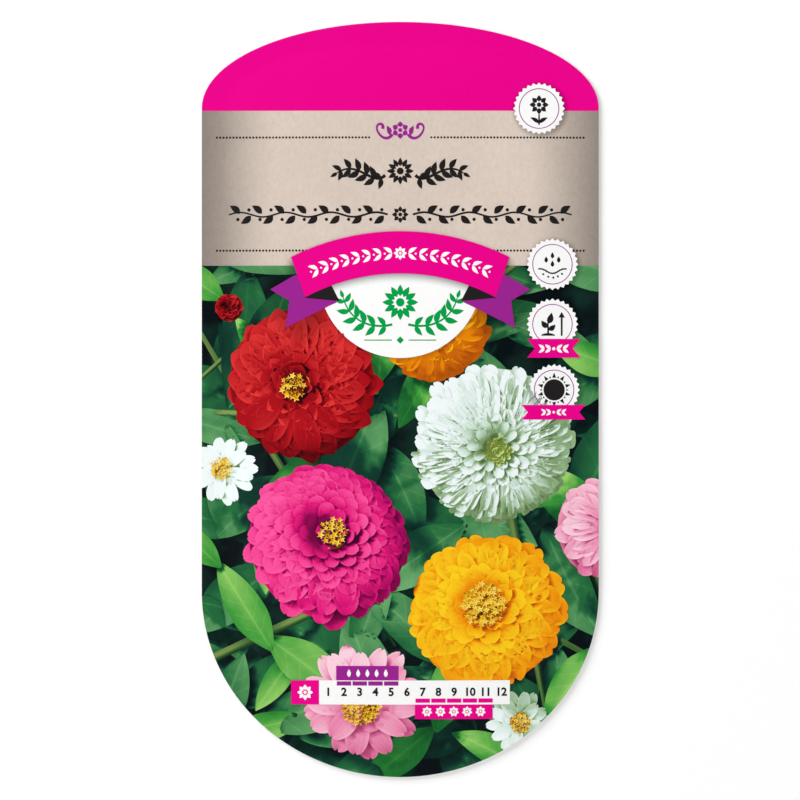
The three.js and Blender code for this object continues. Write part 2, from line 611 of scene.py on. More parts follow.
@dataclass(frozen=True)
class PrintedShadow:
    """The soft shadows printed round the ribbon, the badge and the seals, and beside the ribbon's tails.

    A pair of millimetres tells where a soft edge starts and ends. The inner and the outer edge's are told
    from the ribbon's own edges.
    """

    layout: Layout = Layout()
    ribbon_depth: float = 0.62
    inner_edge: Pair = (-2.4, 0.4)
    outer_edge: Pair = (-2.0, 0.9)
    side_edge: Pair = (25.0, 28.5)
    lower_edge: Pair = (0.0, 5.0)
    below_middle: float = 0.5
    badge_depth: float = 0.35
    badge_inset: float = 0.2
    seal_depth: float = 0.42
    seal_inset: float = 0.5
    seal_drop: float = 0.35
    soft: float = 1.6
    tail_depth: float = 0.5
    tail_radius: float = 4.0
    tail_soft: float = 6.5

    def tree(self) -> bpy.types.NodeTree:
        """The shadows' group, made once.

        Returns:
            A group whose outputs run from 1 down to dark: Light holds all the shadows, and Ribbon only the
            ribbon's own.
        """
        name = "printed_shadow"
        if name in bpy.data.node_groups:
            return bpy.data.node_groups[name]
        bench, given, result = new_group(name, {"Depth": 1.0}, ["Light", "Ribbon"])
        layout = self.layout
        radial = bench.distance(layout.ribbon_centre)
        band, middle = self.band(bench, radial), layout.ribbon_middle
        below = bench.span(radial, middle - self.below_middle, middle + self.below_middle, 1.0, 0.0)
        badge_reach = layout.badge_radius - self.badge_inset
        badge = self.spot(bench, layout.badge_centre, badge_reach, self.soft, self.badge_depth)
        spots = [bench.sum("MULTIPLY", badge, below)]
        for x, y in layout.seals:
            centre, reach = (x + self.seal_drop, y - self.seal_drop), layout.seal_radius - self.seal_inset
            spots.append(self.spot(bench, centre, reach, self.soft, self.seal_depth))
        for centre in layout.tail_shadows:
            spots.append(self.spot(bench, centre, self.tail_radius, self.tail_soft, self.tail_depth))
        for output, value in (("Light", bench.fold("MAXIMUM", band, *spots)), ("Ribbon", band)):
            depth = bench.sum("MULTIPLY", value, given.outputs["Depth"])
            bench.feed(result.inputs[output], bench.sum("SUBTRACT", 1.0, depth))
        return bench.tree

    def band(self, bench: NodeBench, radial: Socket) -> Socket:
        """The ribbon's own shadow.

        Args:
            bench: The group's bench.
            radial: The distance from the ribbon's centre.

        Returns:
            How dark it is.
        """
        layout, depth, axes = self.layout, self.ribbon_depth, bench.axes()
        inner = [layout.ribbon_inner + edge for edge in self.inner_edge]
        outer = [layout.ribbon_outer + edge for edge in self.outer_edge]
        across = bench.sum("MINIMUM", bench.span(radial, *inner, 0.0, depth),
                           bench.span(radial, *outer, depth, 0.0))
        side = bench.span(bench.sum("ABSOLUTE", axes["X"]), *self.side_edge, 1.0, 0.0)
        return bench.fold("MULTIPLY", across, bench.span(axes["Y"], *self.lower_edge), side)

    def spot(self, bench: NodeBench, centre: Point, radius: float, soft: float,
             depth: float) -> Socket:
        """A round shadow, of full depth inside its radius and gone past its soft edge."""
        return bench.span(bench.distance(centre), radius, radius + soft, depth, 0.0)


class Finish:
    """A material on the bench: a Principled shader whose sockets are fed one by one."""

    def __init__(self, name: str) -> None:
        """Starts a material of that name.

        Args:
            name: The material's name.
        """
        self.material = bpy.data.materials.new(name)
        self.material.use_nodes = True
        self.bench = NodeBench(self.material.node_tree)
        self.shader = self.material.node_tree.nodes["Principled BSDF"]
        self.grain = self.bench.group(board_grain())

    def set(self, **sockets: Any) -> None:
        """Feeds the shader's sockets, whose names are given with _ for a space.

        Args:
            sockets: What each socket is fed.
        """
        for name, value in sockets.items():
            self.bench.feed(self.shader.inputs[name.replace("_", " ")], value)

    def mottled(self, share: float, level: float = 1.0) -> Socket:
        """A level that rises and falls a little with the board's mottle."""
        return self.bench.sum("MULTIPLY_ADD", self.grain.outputs["Mottle"], share, level)

    def ink(self, colour: Any, roughness: float = 0.40, tooth: float = 0.012) -> Material:
        """Lays a colour on as ink under satin varnish, over the board's tooth.

        Args:
            colour: The ink's colour.
            roughness: The varnish's roughness, which the board's mottle varies.
            tooth: How deep the board's tooth is, in millimetres.

        Returns:
            The material.
        """
        self.set(Base_Color=colour, Roughness=self.mottled(0.2, roughness), Specular_IOR_Level=0.05)
        return self.bump(self.grain.outputs["Height"], tooth)

    def bump(self, height: Socket, depth: float) -> Material:
        """Raises the surface by a height of 0 to 1, times a depth in millimetres."""
        self.set(Normal=self.bench.node("Bump", {"Height": height, "Distance": depth * MM}).outputs[0])
        return self.material

    def shadow(self, shade: Shade = Shade.ALL, depth: float = 1.0) -> Socket:
        """The light that the printed shadows leave.

        Args:
            shade: Which of them fall on the surface.
            depth: How dark they are, over their usual depth.

        Returns:
            The light, from 1 down to dark.
        """
        group = self.bench.group(PrintedShadow().tree())
        group.inputs["Depth"].default_value = depth
        return group.outputs[shade.value]


class Ink(Enum):
    """The flat printing inks, each with its screen colour."""

    PINK = (237, 0, 140)
    PURPLE = (156, 36, 145)
    CHARCOAL = (35, 31, 32)
    WHITE = (254, 254, 253)
    GREEN = (0, 160, 74)


@dataclass(frozen=True)
class InkFinish:
    """Flat ink under satin varnish, with the board's tooth showing through."""

    ink: Ink
    shade: Shade = Shade.NONE
    mottle: float = 0.10

    def material(self) -> Material:
        """The ink's material, made once.

        Returns:
            The material.
        """
        name = f"ink_{self.ink.name}_{self.shade.name}".lower()
        if name in bpy.data.materials:
            return bpy.data.materials[name]
        finish = Finish(name)
        gain = finish.mottled(self.mottle)
        if self.shade is not Shade.NONE:
            gain = finish.bench.sum("MULTIPLY", gain, finish.shadow(self.shade))
        return finish.ink(finish.bench.gain(screen(*self.ink.value), gain))


@dataclass(frozen=True)
class KraftFinish:
    """Printed brown paper: fine fibres and flecks, darker towards the packet's two sides.

    Its fades run between two places across the packet, in millimetres from the paper's brightest line.
    That line lies 0.7 mm right of the middle, and a lift brightens the right half: both are painted
    light, which lightens the right side that the key light from the upper left leaves darker.
    """

    colour: Colour = screen(217, 201, 188)
    # painted light: the fades' centre sits right of the middle, to lighten the right side that the key light
    # leaves darker
    brightest_x: float = 0.7
    side_share: float = 0.39
    side_fade: Pair = (29.0, 50.0)
    # painted light: the lift and its rise and fall brighten the right half against the key light's fall-off
    lift: float = 1.045
    painted_light_rise: Pair = (4.0, 26.0)
    painted_light_fall: Pair = (28.0, 37.0)
    cloud_scale: float = 90.0
    fleck_scale: float = 1700.0
    fibre: float = 0.34

    def material(self) -> Material:
        """The printed paper's material.

        Returns:
            The material.
        """
        finish = Finish("ink_kraft")
        bench = finish.bench
        off = bench.sum("SUBTRACT", bench.axes()["X"], self.brightest_x)
        gain = bench.fold(
            "MULTIPLY",
            bench.span(bench.sum("ABSOLUTE", off), *self.side_fade, 1.0, self.side_share),
            # painted light: these two spans brighten the right half, where the key light falls off
            bench.span(off, *self.painted_light_rise, 1.0, self.lift),
            bench.span(off, *self.painted_light_fall, 1.0, 1.0 / self.lift),
            bench.cloud(self.cloud_scale, 0.965, 1.03, 4.0),
            bench.span(bench.noise(bench.place(), self.fleck_scale, 1.0), 0.24, 0.36, 0.92, 1.0),
            finish.mottled(self.fibre),
            finish.shadow(),
        )
        return finish.ink(bench.gain(self.colour, gain), 0.5, 0.02)


@dataclass(frozen=True)
class GroundFinish:
    """The darkest of the printed garden, between and behind its leaves."""

    dark: Colour = screen(5, 14, 18)
    light: Colour = screen(16, 44, 38)
    cloud_scale: float = 110.0

    def material(self) -> Material:
        """The dark ground's material.

        Returns:
            The material.
        """
        finish = Finish("ink_garden_ground")
        bench = finish.bench
        shade = bench.noise(bench.place(), self.cloud_scale, 3.0)
        colour = bench.ramp(shade, [(0.42, self.dark), (0.68, self.light)])
        return finish.ink(bench.gain(colour, finish.shadow()))


@dataclass(frozen=True)
class PlantInk:
    """Printed petals or leaves: one colour from deep shade to full sun, with fine veins.

    The mesh's vertices hold along and across, a petal's own directions, tone, which differs from petal to
    petal, and lit, the light that the petal stands in. Each stop is a light and the screen colour that the
    petal has in it. A share tells how much one detail adds to that light.
    """

    name: str
    stops: tuple[tuple[float, int, int, int], ...]
    veins: float = 5.0
    vein_share: float = 0.02
    vein_wander: float = 3.0
    wander_scale: float = 700.0
    foot_share: float = 0.34
    foot_middle: float = 0.75
    tone_share: float = 0.18
    midrib: float = 0.0
    midrib_width: float = 0.10
    side_ribs: float = 40.0
    rib_slant: float = -7.0
    side_rib_share: float = 0.45
    rim: float = 0.10
    rim_from: float = 0.7
    blotch: float = 0.06
    blotch_scale: float = 260.0
    shaded_detail: float = 0.2
    shadow_depth: float = 0.9

    def material(self) -> Material:
        """The plant's material, made once.

        Returns:
            The material.
        """
        name = f"ink_{self.name}"
        if name in bpy.data.materials:
            return bpy.data.materials[name]
        finish = Finish(name)
        bench = finish.bench
        detail = bench.fold("ADD", *self.details(bench))
        lit = bench.attribute("lit")
        weight = bench.sum("MULTIPLY_ADD", lit, 1.0 - self.shaded_detail, self.shaded_detail)
        stops = [(light, screen(*channels)) for light, *channels in self.stops]
        colour = bench.ramp(bench.sum("MULTIPLY_ADD", detail, weight, lit), stops)
        return finish.ink(bench.gain(colour, finish.shadow(depth=self.shadow_depth)))

    def details(self, bench: NodeBench) -> list[Socket]:
        """What makes one place of a petal or leaf lighter than another.

        Args:
            bench: The material's bench.

        Returns:
            The veins, the petal's own tone, its foot, its rim, faint blotches and, on a leaf, its ribs.
        """
        along, across = bench.attribute("along"), bench.attribute("across")
        side = bench.sum("ABSOLUTE", across)
        wander = bench.sum("MULTIPLY", bench.noise(bench.place(), self.wander_scale), self.vein_wander)
        phase = bench.sum("MULTIPLY_ADD", across, self.veins * math.pi, wander)

        def about(value: Socket, middle: float, share: float) -> Socket:
            """How far a value lies from its middle, times a share."""
            return bench.sum("MULTIPLY", bench.sum("SUBTRACT", value, middle), share)

        parts = [
            bench.sum("MULTIPLY", bench.sum("SINE", phase), self.vein_share),
            about(bench.attribute("tone"), 0.5, self.tone_share),
            about(along, self.foot_middle, self.foot_share),
            bench.span(side, self.rim_from, 1.0, 0.0, self.rim),
            about(bench.noise(bench.place(), self.blotch_scale, 4.0), 0.5, self.blotch),
        ]
        if self.midrib:
            rib = bench.span(side, 0.0, self.midrib_width, self.midrib, 0.0)
            turn = bench.sum("MULTIPLY_ADD", side, self.rib_slant,
                             bench.sum("MULTIPLY", along, self.side_ribs))
            fan = bench.span(bench.sum("SINE", turn), 0.90, 1.0, 0.0, self.midrib * self.side_rib_share)
            parts.append(bench.sum("MAXIMUM", rib, fan))
        return parts


@dataclass(frozen=True)
class BoardFinish:
    """Bare white board, as at the cut edge and inside the pocket, with the faint layers of its pulp."""

    colour: Colour = screen(246, 243, 235)
    layer_scale: float = 300.0
    layer_squash: float = 40.0
    mottle: float = 0.25

    def material(self) -> Material:
        """The bare board's material.

        Returns:
            The material.
        """
        finish = Finish("bare_board")
        bench = finish.bench
        layers = bench.cloud(self.layer_scale, 0.93, 1.02, stretch=(1.0, 1.0, self.layer_squash))
        tint = bench.sum("MULTIPLY", finish.mottled(self.mottle, 0.98), layers)
        return finish.ink(bench.gain(self.colour, tint), 0.75, 0.04)


@dataclass(frozen=True)
class BackPrint:
    """The plain back: cream ink with a panel of fine ruled lines."""

    colour: Colour = screen(240, 234, 222)
    line: Colour = screen(150, 140, 132)
    pitch: float = 5.0
    line_width: float = 0.18
    panel: Pair = (36.0, 26.0)
    mottle: float = 0.22

    def material(self) -> Material:
        """The back print's material.

        Returns:
            The material.
        """
        finish = Finish("ink_back_panel")
        bench = finish.bench
        axes = bench.axes()
        step = bench.sum("PINGPONG", axes["Y"], self.pitch / 2)
        line = bench.sum("LESS_THAN", step, self.line_width / 2)
        inside = [bench.sum("LESS_THAN", bench.sum("ABSOLUTE", axes[axis]), half)
                  for axis, half in zip("XY", self.panel)]
        mask, paper, ruled, colour = 0, 6, 7, 2
        mix = bench.node("Mix", data_type="RGBA")
        bench.feed(mix.inputs[mask], bench.fold("MULTIPLY", line, *inside))
        bench.feed(mix.inputs[paper], self.colour)
        bench.feed(mix.inputs[ruled], self.line)
        return finish.ink(bench.gain(mix.outputs[colour], finish.mottled(self.mottle)), 0.6, 0.02)


@dataclass(frozen=True)
class GlueFinish:
    """Dried glue, milky, with small bubbles."""

    colour: Colour = screen(232, 224, 198)

    def material(self) -> Material:
        """The glue's material.

        Returns:
            The material.
        """
        finish = Finish("dried_glue")
        bench = finish.bench
        bubbles = bench.node("TexVoronoi", {"Vector": bench.place(), "Scale": 2600.0}).outputs["Distance"]
        finish.set(Base_Color=bench.gain(self.colour, bench.cloud(400.0, 0.9, 1.04)), Roughness=0.35)
        return finish.bump(bubbles, 0.03)


@dataclass(frozen=True)
class HuskFinish:
    """A seed's dry husk, ribbed along and flecked."""

    dark: Colour = screen(74, 58, 42)
    light: Colour = screen(158, 136, 104)

    def material(self) -> Material:
        """The husk's material.

        Returns:
            The material.
        """
        finish = Finish("seed_husk")
        bench = finish.bench
        fleck = bench.noise(bench.place(), 1400.0, 4.0)
        ribs = bench.node("TexWave", {"Vector": bench.place(), "Scale": 900.0, "Distortion": 6.0}).outputs[1]
        shade = bench.sum("MULTIPLY_ADD", ribs, 0.35, bench.sum("MULTIPLY", fleck, 0.65))
        finish.set(Base_Color=bench.ramp(shade, [(0.25, self.dark), (0.8, self.light)]), Roughness=0.85)
        return finish.bump(ribs, 0.08)


# --- The two boards, the glue and the seeds ---


def board_grid(form: PacketForm, columns: int, rows: int) -> BMesh:
    """A flat grid with the packet's outline, its rows drawn together towards the two round ends.

    Args:
        form: The packet's form.
        columns: Cells across it.
        rows: Cells along it.

    Returns:
        The grid, at height 0.
    """
    bm = bmesh.new()
    bmesh.ops.create_grid(bm, x_segments=columns, y_segments=rows, size=1.0)
    for vert in bm.verts:
        y = form.half_length * math.sin(vert.co.y * math.pi / 2)
        vert.co = Vector((vert.co.x * form.half_width_at(y), y, 0))
    bmesh.ops.remove_doubles(bm, verts=bm.verts[:], dist=0.001)
    return bm


@dataclass
class Boards:
    """The printed front, which swells over the pocket, and the flat back."""

    form: PacketForm
    layout: Layout
    front_cells: tuple[int, int] = (84, 220)
    back_cells: tuple[int, int] = (24, 160)
    back_foot_y: float = -52.0
    bend_reach: float = 5.0

    def build(self) -> None:
        """Makes both boards, each with its bands of ink and its bare white board."""
        bare = BoardFinish().material()
        self.build_front(bare)
        self.build_back(bare)

    def build_front(self, bare: Material) -> None:
        """Makes the front, with its cap, its brown paper and the picture's dark ground.

        Args:
            bare: The bare board's material.
        """
        finishes = (InkFinish(Ink.PINK, Shade.ALL), KraftFinish(), GroundFinish())
        inks = [finish.material() for finish in finishes]
        front = board_grid(self.form, *self.front_cells)
        self.band(front, (self.layout.cap_from_y, self.layout.picture_to_y))
        left, right, *round_end = self.form.edge_planes(self.form.rim_steps, self.form.seam_width)
        for place, out in (left, right):
            cut_along(front, place, out)
        for place, out in round_end:
            cut_along(front, place, out, self.bend_reach)
        for vert in front.verts:
            vert.co.z = self.form.height(vert.co.x, vert.co.y)
        self.thicken(front)
        make_piece(front, "front_board", [*inks, bare], ["front_panel"])

    def build_back(self, bare: Material) -> None:
        """Makes the back, whose printed face looks down.

        Args:
            bare: The bare board's material.
        """
        inks = [finish.material() for finish in (InkFinish(Ink.PINK), BackPrint(), InkFinish(Ink.PURPLE))]
        back = board_grid(self.form, *self.back_cells)
        self.band(back, (self.layout.cap_from_y, self.back_foot_y))
        bmesh.ops.reverse_faces(back, faces=back.faces[:])
        self.thicken(back)
        make_piece(back, "back_board", [*inks, bare], ["back_panel"])

    def band(self, bm: BMesh, cuts: Pair) -> None:
        """Divides a board's printed face into three bands, whose materials are numbered from the top.

        Args:
            bm: The board's printed face.
            cuts: Where one band meets the next, along the packet.
        """
        for y in cuts:
            cut_along(bm, (0, y, 0), (0, 1, 0))
        for face in bm.faces:
            y = face.calc_center_median().y
            face.material_index = sum(y < cut for cut in cuts)

    def thicken(self, bm: BMesh) -> None:
        """Gives a printed face the board behind it, whose edge and inner side are bare.

        Args:
            bm: The board's printed face.
        """
        bm.normal_update()
        printed = set(bm.faces)
        bmesh.ops.solidify(bm, geom=bm.faces[:], thickness=self.form.board)
        for face in bm.faces:
            if face not in printed:
                face.material_index = 3
        bm.normal_update()
        sharpen(bm)


@dataclass
class Filling:
    """The glue between the boards and the seeds in the pocket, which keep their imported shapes."""

    nodes: dict[str, bpy.types.Object]

    def build(self) -> None:
        """Gives the glue and the seeds their finishes."""
        glue, husk = GlueFinish().material(), HuskFinish().material()
        for name, node in self.nodes.items():
            if name == "glue_seam" or name.startswith("seed_"):
                for part in node.material_slots:
                    part.material = glue if name == "glue_seam" else husk
                log.info("%s: dressed", name)


# --- Flat print: ribbon, badge, seals, calendar and ornaments ---


@dataclass
class Drawing:
    """Flat shapes of one ink, drawn at height 0 and then laid on the packet's front as thin slabs."""

    form: PacketForm
    name: str
    ink: Ink
    level: Level
    shade: Shade = Shade.NONE
    cell: float = CELL
    bm: BMesh = field(default_factory=bmesh.new)

    def add(self, corners: Sequence[Point]) -> Drawing:
        """Adds a shape with the given corners.

        Args:
            corners: The corners, in turn.

        Returns:
            The drawing, for the next shape.
        """
        made = bmesh.ops.create_circle(self.bm, cap_ends=True, segments=len(corners), radius=1.0)
        for vert, (x, y) in zip(made["verts"], corners):
            vert.co = (x, y, 0)
        return self

    def ring(self, centre: Point, radius: float, width: float, corners: int = 48) -> None:
        """Adds a thin ring.

        Args:
            centre: Its centre.
            radius: The radius of its middle line.
            width: Its width.
            corners: The corners of each rim.
        """
        rims = []
        for reach in (radius - width / 2, radius + width / 2):
            rim = bmesh.ops.create_circle(self.bm, segments=corners, radius=reach)["verts"]
            bmesh.ops.translate(self.bm, verts=rim, vec=(*centre, 0))
            rims += {edge for vert in rim for edge in vert.link_edges}
        bmesh.ops.bridge_loops(self.bm, edges=rims)

    def digits(self, text: str, centre: Point, size: float, weight: float = 0.09) -> None:
        """Adds a plain number, whose lines are made bolder by a weight.

        Args:
            text: The number.
            centre: Its middle.
            size: Its size.
            weight: How far its lines are widened to each side.
        """
        letters = bpy.data.curves.new("digits", "FONT")
        letters.body, letters.size, letters.offset = text, size, weight
        letters.align_x, letters.align_y = "CENTER", "CENTER"
        letters.resolution_u = 3
        source = bpy.data.objects.new("digits", letters)
        mesh = bpy.data.meshes.new_from_object(source)
        before = set(self.bm.verts)
        self.bm.from_mesh(mesh)
        fresh = [vert for vert in self.bm.verts if vert not in before]
        bmesh.ops.translate(self.bm, verts=fresh, vec=(*centre, 0))
        bmesh.ops.remove_doubles(self.bm, verts=fresh, dist=1e-3)
        bpy.data.objects.remove(source)
        bpy.data.curves.remove(letters)
        bpy.data.meshes.remove(mesh)

    def divide(self) -> None:
        """Cuts the shapes into cells, and where the board starts to swell, so that they can follow it."""
        bend = self.form.half_width - self.form.seam_width
        for across, bends in ((Vector((1, 0, 0)), [-bend, bend]), (Vector((0, 1, 0)), [])):
            places = [vert.co.dot(across) for vert in self.bm.verts]
            low, high = min(places), max(places)
            steps = range(math.ceil(low / self.cell), math.floor(high / self.cell) + 1)
            cuts = [step * self.cell for step in steps] + [place for place in bends if low < place < high]
            for place in cuts:
                cut_along(self.bm, across * place, across)

    def lay(self) -> None:
        """Lays the shapes on the front as thin slabs and makes the piece."""
        bm = self.bm
        flip_up(bm)
        bmesh.ops.triangulate(bm, faces=[face for face in bm.faces if len(face.verts) > 4])
        self.divide()
        bm.normal_update()
        bmesh.ops.solidify(bm, geom=bm.faces[:], thickness=1.0)
        bm.faces.sort(key=lambda face: face.calc_center_median().z)
        for vert in bm.verts:
            lift = self.level if vert.co.z > -0.5 else Level.SINK
            vert.co.z = self.form.height(vert.co.x, vert.co.y) + lift.value
        bm.normal_update()
        sharpen(bm)
        map_from_above(bm)
        make_piece(bm, self.name, [InkFinish(self.ink, self.shade).material()])


def twig(drawing: Drawing, line: Sequence[Point], leaf: Pair, pairs: int,
         stem: Pair, splay: float = 50.0) -> None:
    """Draws a stem with leaves to both sides.

    Args:
        drawing: Where it is drawn.
        line: Points along the stem.
        leaf: Length and width of its largest leaf.
        pairs: Number of leaf pairs.
        stem: The stem's width at its foot and at its tip.
        splay: The angle between a leaf and the stem, in degrees.
    """
    drawing.add(stroke(line, stem))
    last = len(line) - 1
    for pair in range(pairs):
        place = (pair + 0.6) / pairs * last
        number = min(last - 1, int(place))
        start, end = line[number], line[number + 1]
        foot = (lerp(start[0], end[0], place - number), lerp(start[1], end[1], place - number))
        heading = math.degrees(math.atan2(end[1] - start[1], end[0] - start[0]))
        size = 0.62 + 0.38 * math.sin(math.pi * (0.2 + 0.8 * pair / pairs))
        for side in (-1, 1):
            drawing.add(leaf_outline(foot, leaf[0] * size, leaf[1] * size, heading + side * splay,
                                     side * 0.06))
    start, end = line[-2], line[-1]
    heading = math.degrees(math.atan2(end[1] - start[1], end[0] - start[0]))
    drawing.add(leaf_outline(end, leaf[0] * 0.62, leaf[1] * 0.6, heading))


def blossom(drawing: Drawing, centre: Point, radius: float, petals: int, gap: float = 0.30) -> None:
    """Draws a small flower of separate petals round a button.

    Args:
        drawing: Where it is drawn.
        centre: The flower's centre.
        radius: From its centre to a petal's tip.
        petals: Number of petals.
        gap: Where a petal starts, over the radius.
    """
    for petal in range(petals):
        turn = 90 + petal * 360 / petals
        foot = polar(centre, radius * gap, turn)
        drawing.add(leaf_outline(foot, radius * (1 - gap), radius * 4.0 / petals, turn))
    drawing.add(circle(centre, radius * (gap - 0.10), 12))


@dataclass
class Ribbon:
    """The arched ribbon over the badge, folded under at both ends, with its two tails.

    The corners of the tail and of the fold are the right side's, and the hem is the tail's curved lower edge.
    """

    form: PacketForm
    layout: Layout
    tail_end: tuple[Point, ...] = ((24.0, 30.2), (25.6, 29.5), (31.1, 26.3), (26.5, 23.6))
    hem: tuple[Point, Point, Point, Point] = ((27.4, 17.2), (22.5, 19.6), (18.4, 21.7), (14.5, 23.5))
    tail_root: Point = (18.0, 27.0)
    fold: tuple[Point, ...] = ((22.9, 24.3), (14.5, 23.5), (16.7, 27.8), (19.6, 27.0))
    leaf_pairs: int = 8
    leaf_pitch: float = 2.8
    leaf: Pair = (2.5, 0.95)
    leaf_splay: float = 36.0
    dot: float = 0.24
    dot_after: float = 1.9

    def build(self) -> None:
        """Makes the band, its folds, its tails and its row of small leaves."""
        centre, steps = self.layout.ribbon_centre, 40
        outer_end, inner_end = self.layout.ribbon_ends
        upper = arc(centre, self.layout.ribbon_outer, 90 + outer_end, 90 - outer_end, steps)
        lower = arc(centre, self.layout.ribbon_inner, 90 - inner_end, 90 + inner_end, steps)
        Drawing(self.form, "ribbon_band", Ink.PINK, Level.TOP).add(upper + lower).lay()
        tails = Drawing(self.form, "ribbon_tails", Ink.PURPLE, Level.MIDDLE)
        folds = Drawing(self.form, "ribbon_folds", Ink.CHARCOAL, Level.OVER)
        for side in (-1, 1):
            tails.add(on_side(side, [*self.tail_end, *curve(*self.hem, 6), self.tail_root]))
            folds.add(on_side(side, self.fold))
        tails.lay()
        folds.lay()
        self.garland()

    def garland(self) -> None:
        """Makes the row of white leaves and dots along the band."""
        row = Drawing(self.form, "ribbon_garland", Ink.WHITE, Level.RAISED, cell=SMALL_CELL)
        centre, middle = self.layout.ribbon_centre, self.layout.ribbon_middle - 0.2
        for side in (-1, 1):
            for number in range(self.leaf_pairs):
                turn = (number + 0.75) * self.leaf_pitch
                spot = polar(centre, middle, 90 - side * turn)
                heading = -side * turn + (0 if side > 0 else 180)
                for lean in (-1, 1):
                    row.add(leaf_outline(spot, *self.leaf, heading + lean * self.leaf_splay, lean * 0.08))
                row.add(circle(polar(centre, middle, 90 - side * (turn + self.dot_after)), self.dot, 8))
        blossom(row, polar(centre, middle, 90), 1.6, 8)
        row.lay()


@dataclass
class Badge:
    """The round white badge under the ribbon, with a green wreath where a name would stand."""

    form: PacketForm
    layout: Layout
    hidden_radius: float = 53.4
    flower: Point = (0, 23.2)
    branch: tuple[Point, Point, Point, Point] = ((1.9, 17.9), (7.4, 16.6), (12.2, 19.0), (13.6, 24.2))
    rule: tuple[float, float, float, float] = (2.0, 14.05, 8.6, 14.3)
    lozenge: tuple[Point, ...] = ((0, 13.3), (0.9, 14.18), (0, 15.06), (-0.9, 14.18))

    def build(self) -> None:
        """Makes the badge and its wreath."""
        rim = arc(self.layout.badge_centre, self.layout.badge_radius, -186, 6, 72)
        hidden = arc(self.layout.ribbon_centre, self.hidden_radius, 69.0, 111.0, 24)
        Drawing(self.form, "badge", Ink.WHITE, Level.UNDER, Shade.RIBBON).add(rim + hidden).lay()
        wreath = Drawing(self.form, "badge_wreath", Ink.GREEN, Level.MIDDLE)
        blossom(wreath, self.flower, 4.3, 12, 0.34)
        for side in (-1, 1):
            twig(wreath, on_side(side, curve(*self.branch, 12)), (3.5, 1.5), 6, (0.6, 0.3))
            wreath.add(on_side(side, rectangle(*self.rule)))
        wreath.add(self.lozenge).lay()


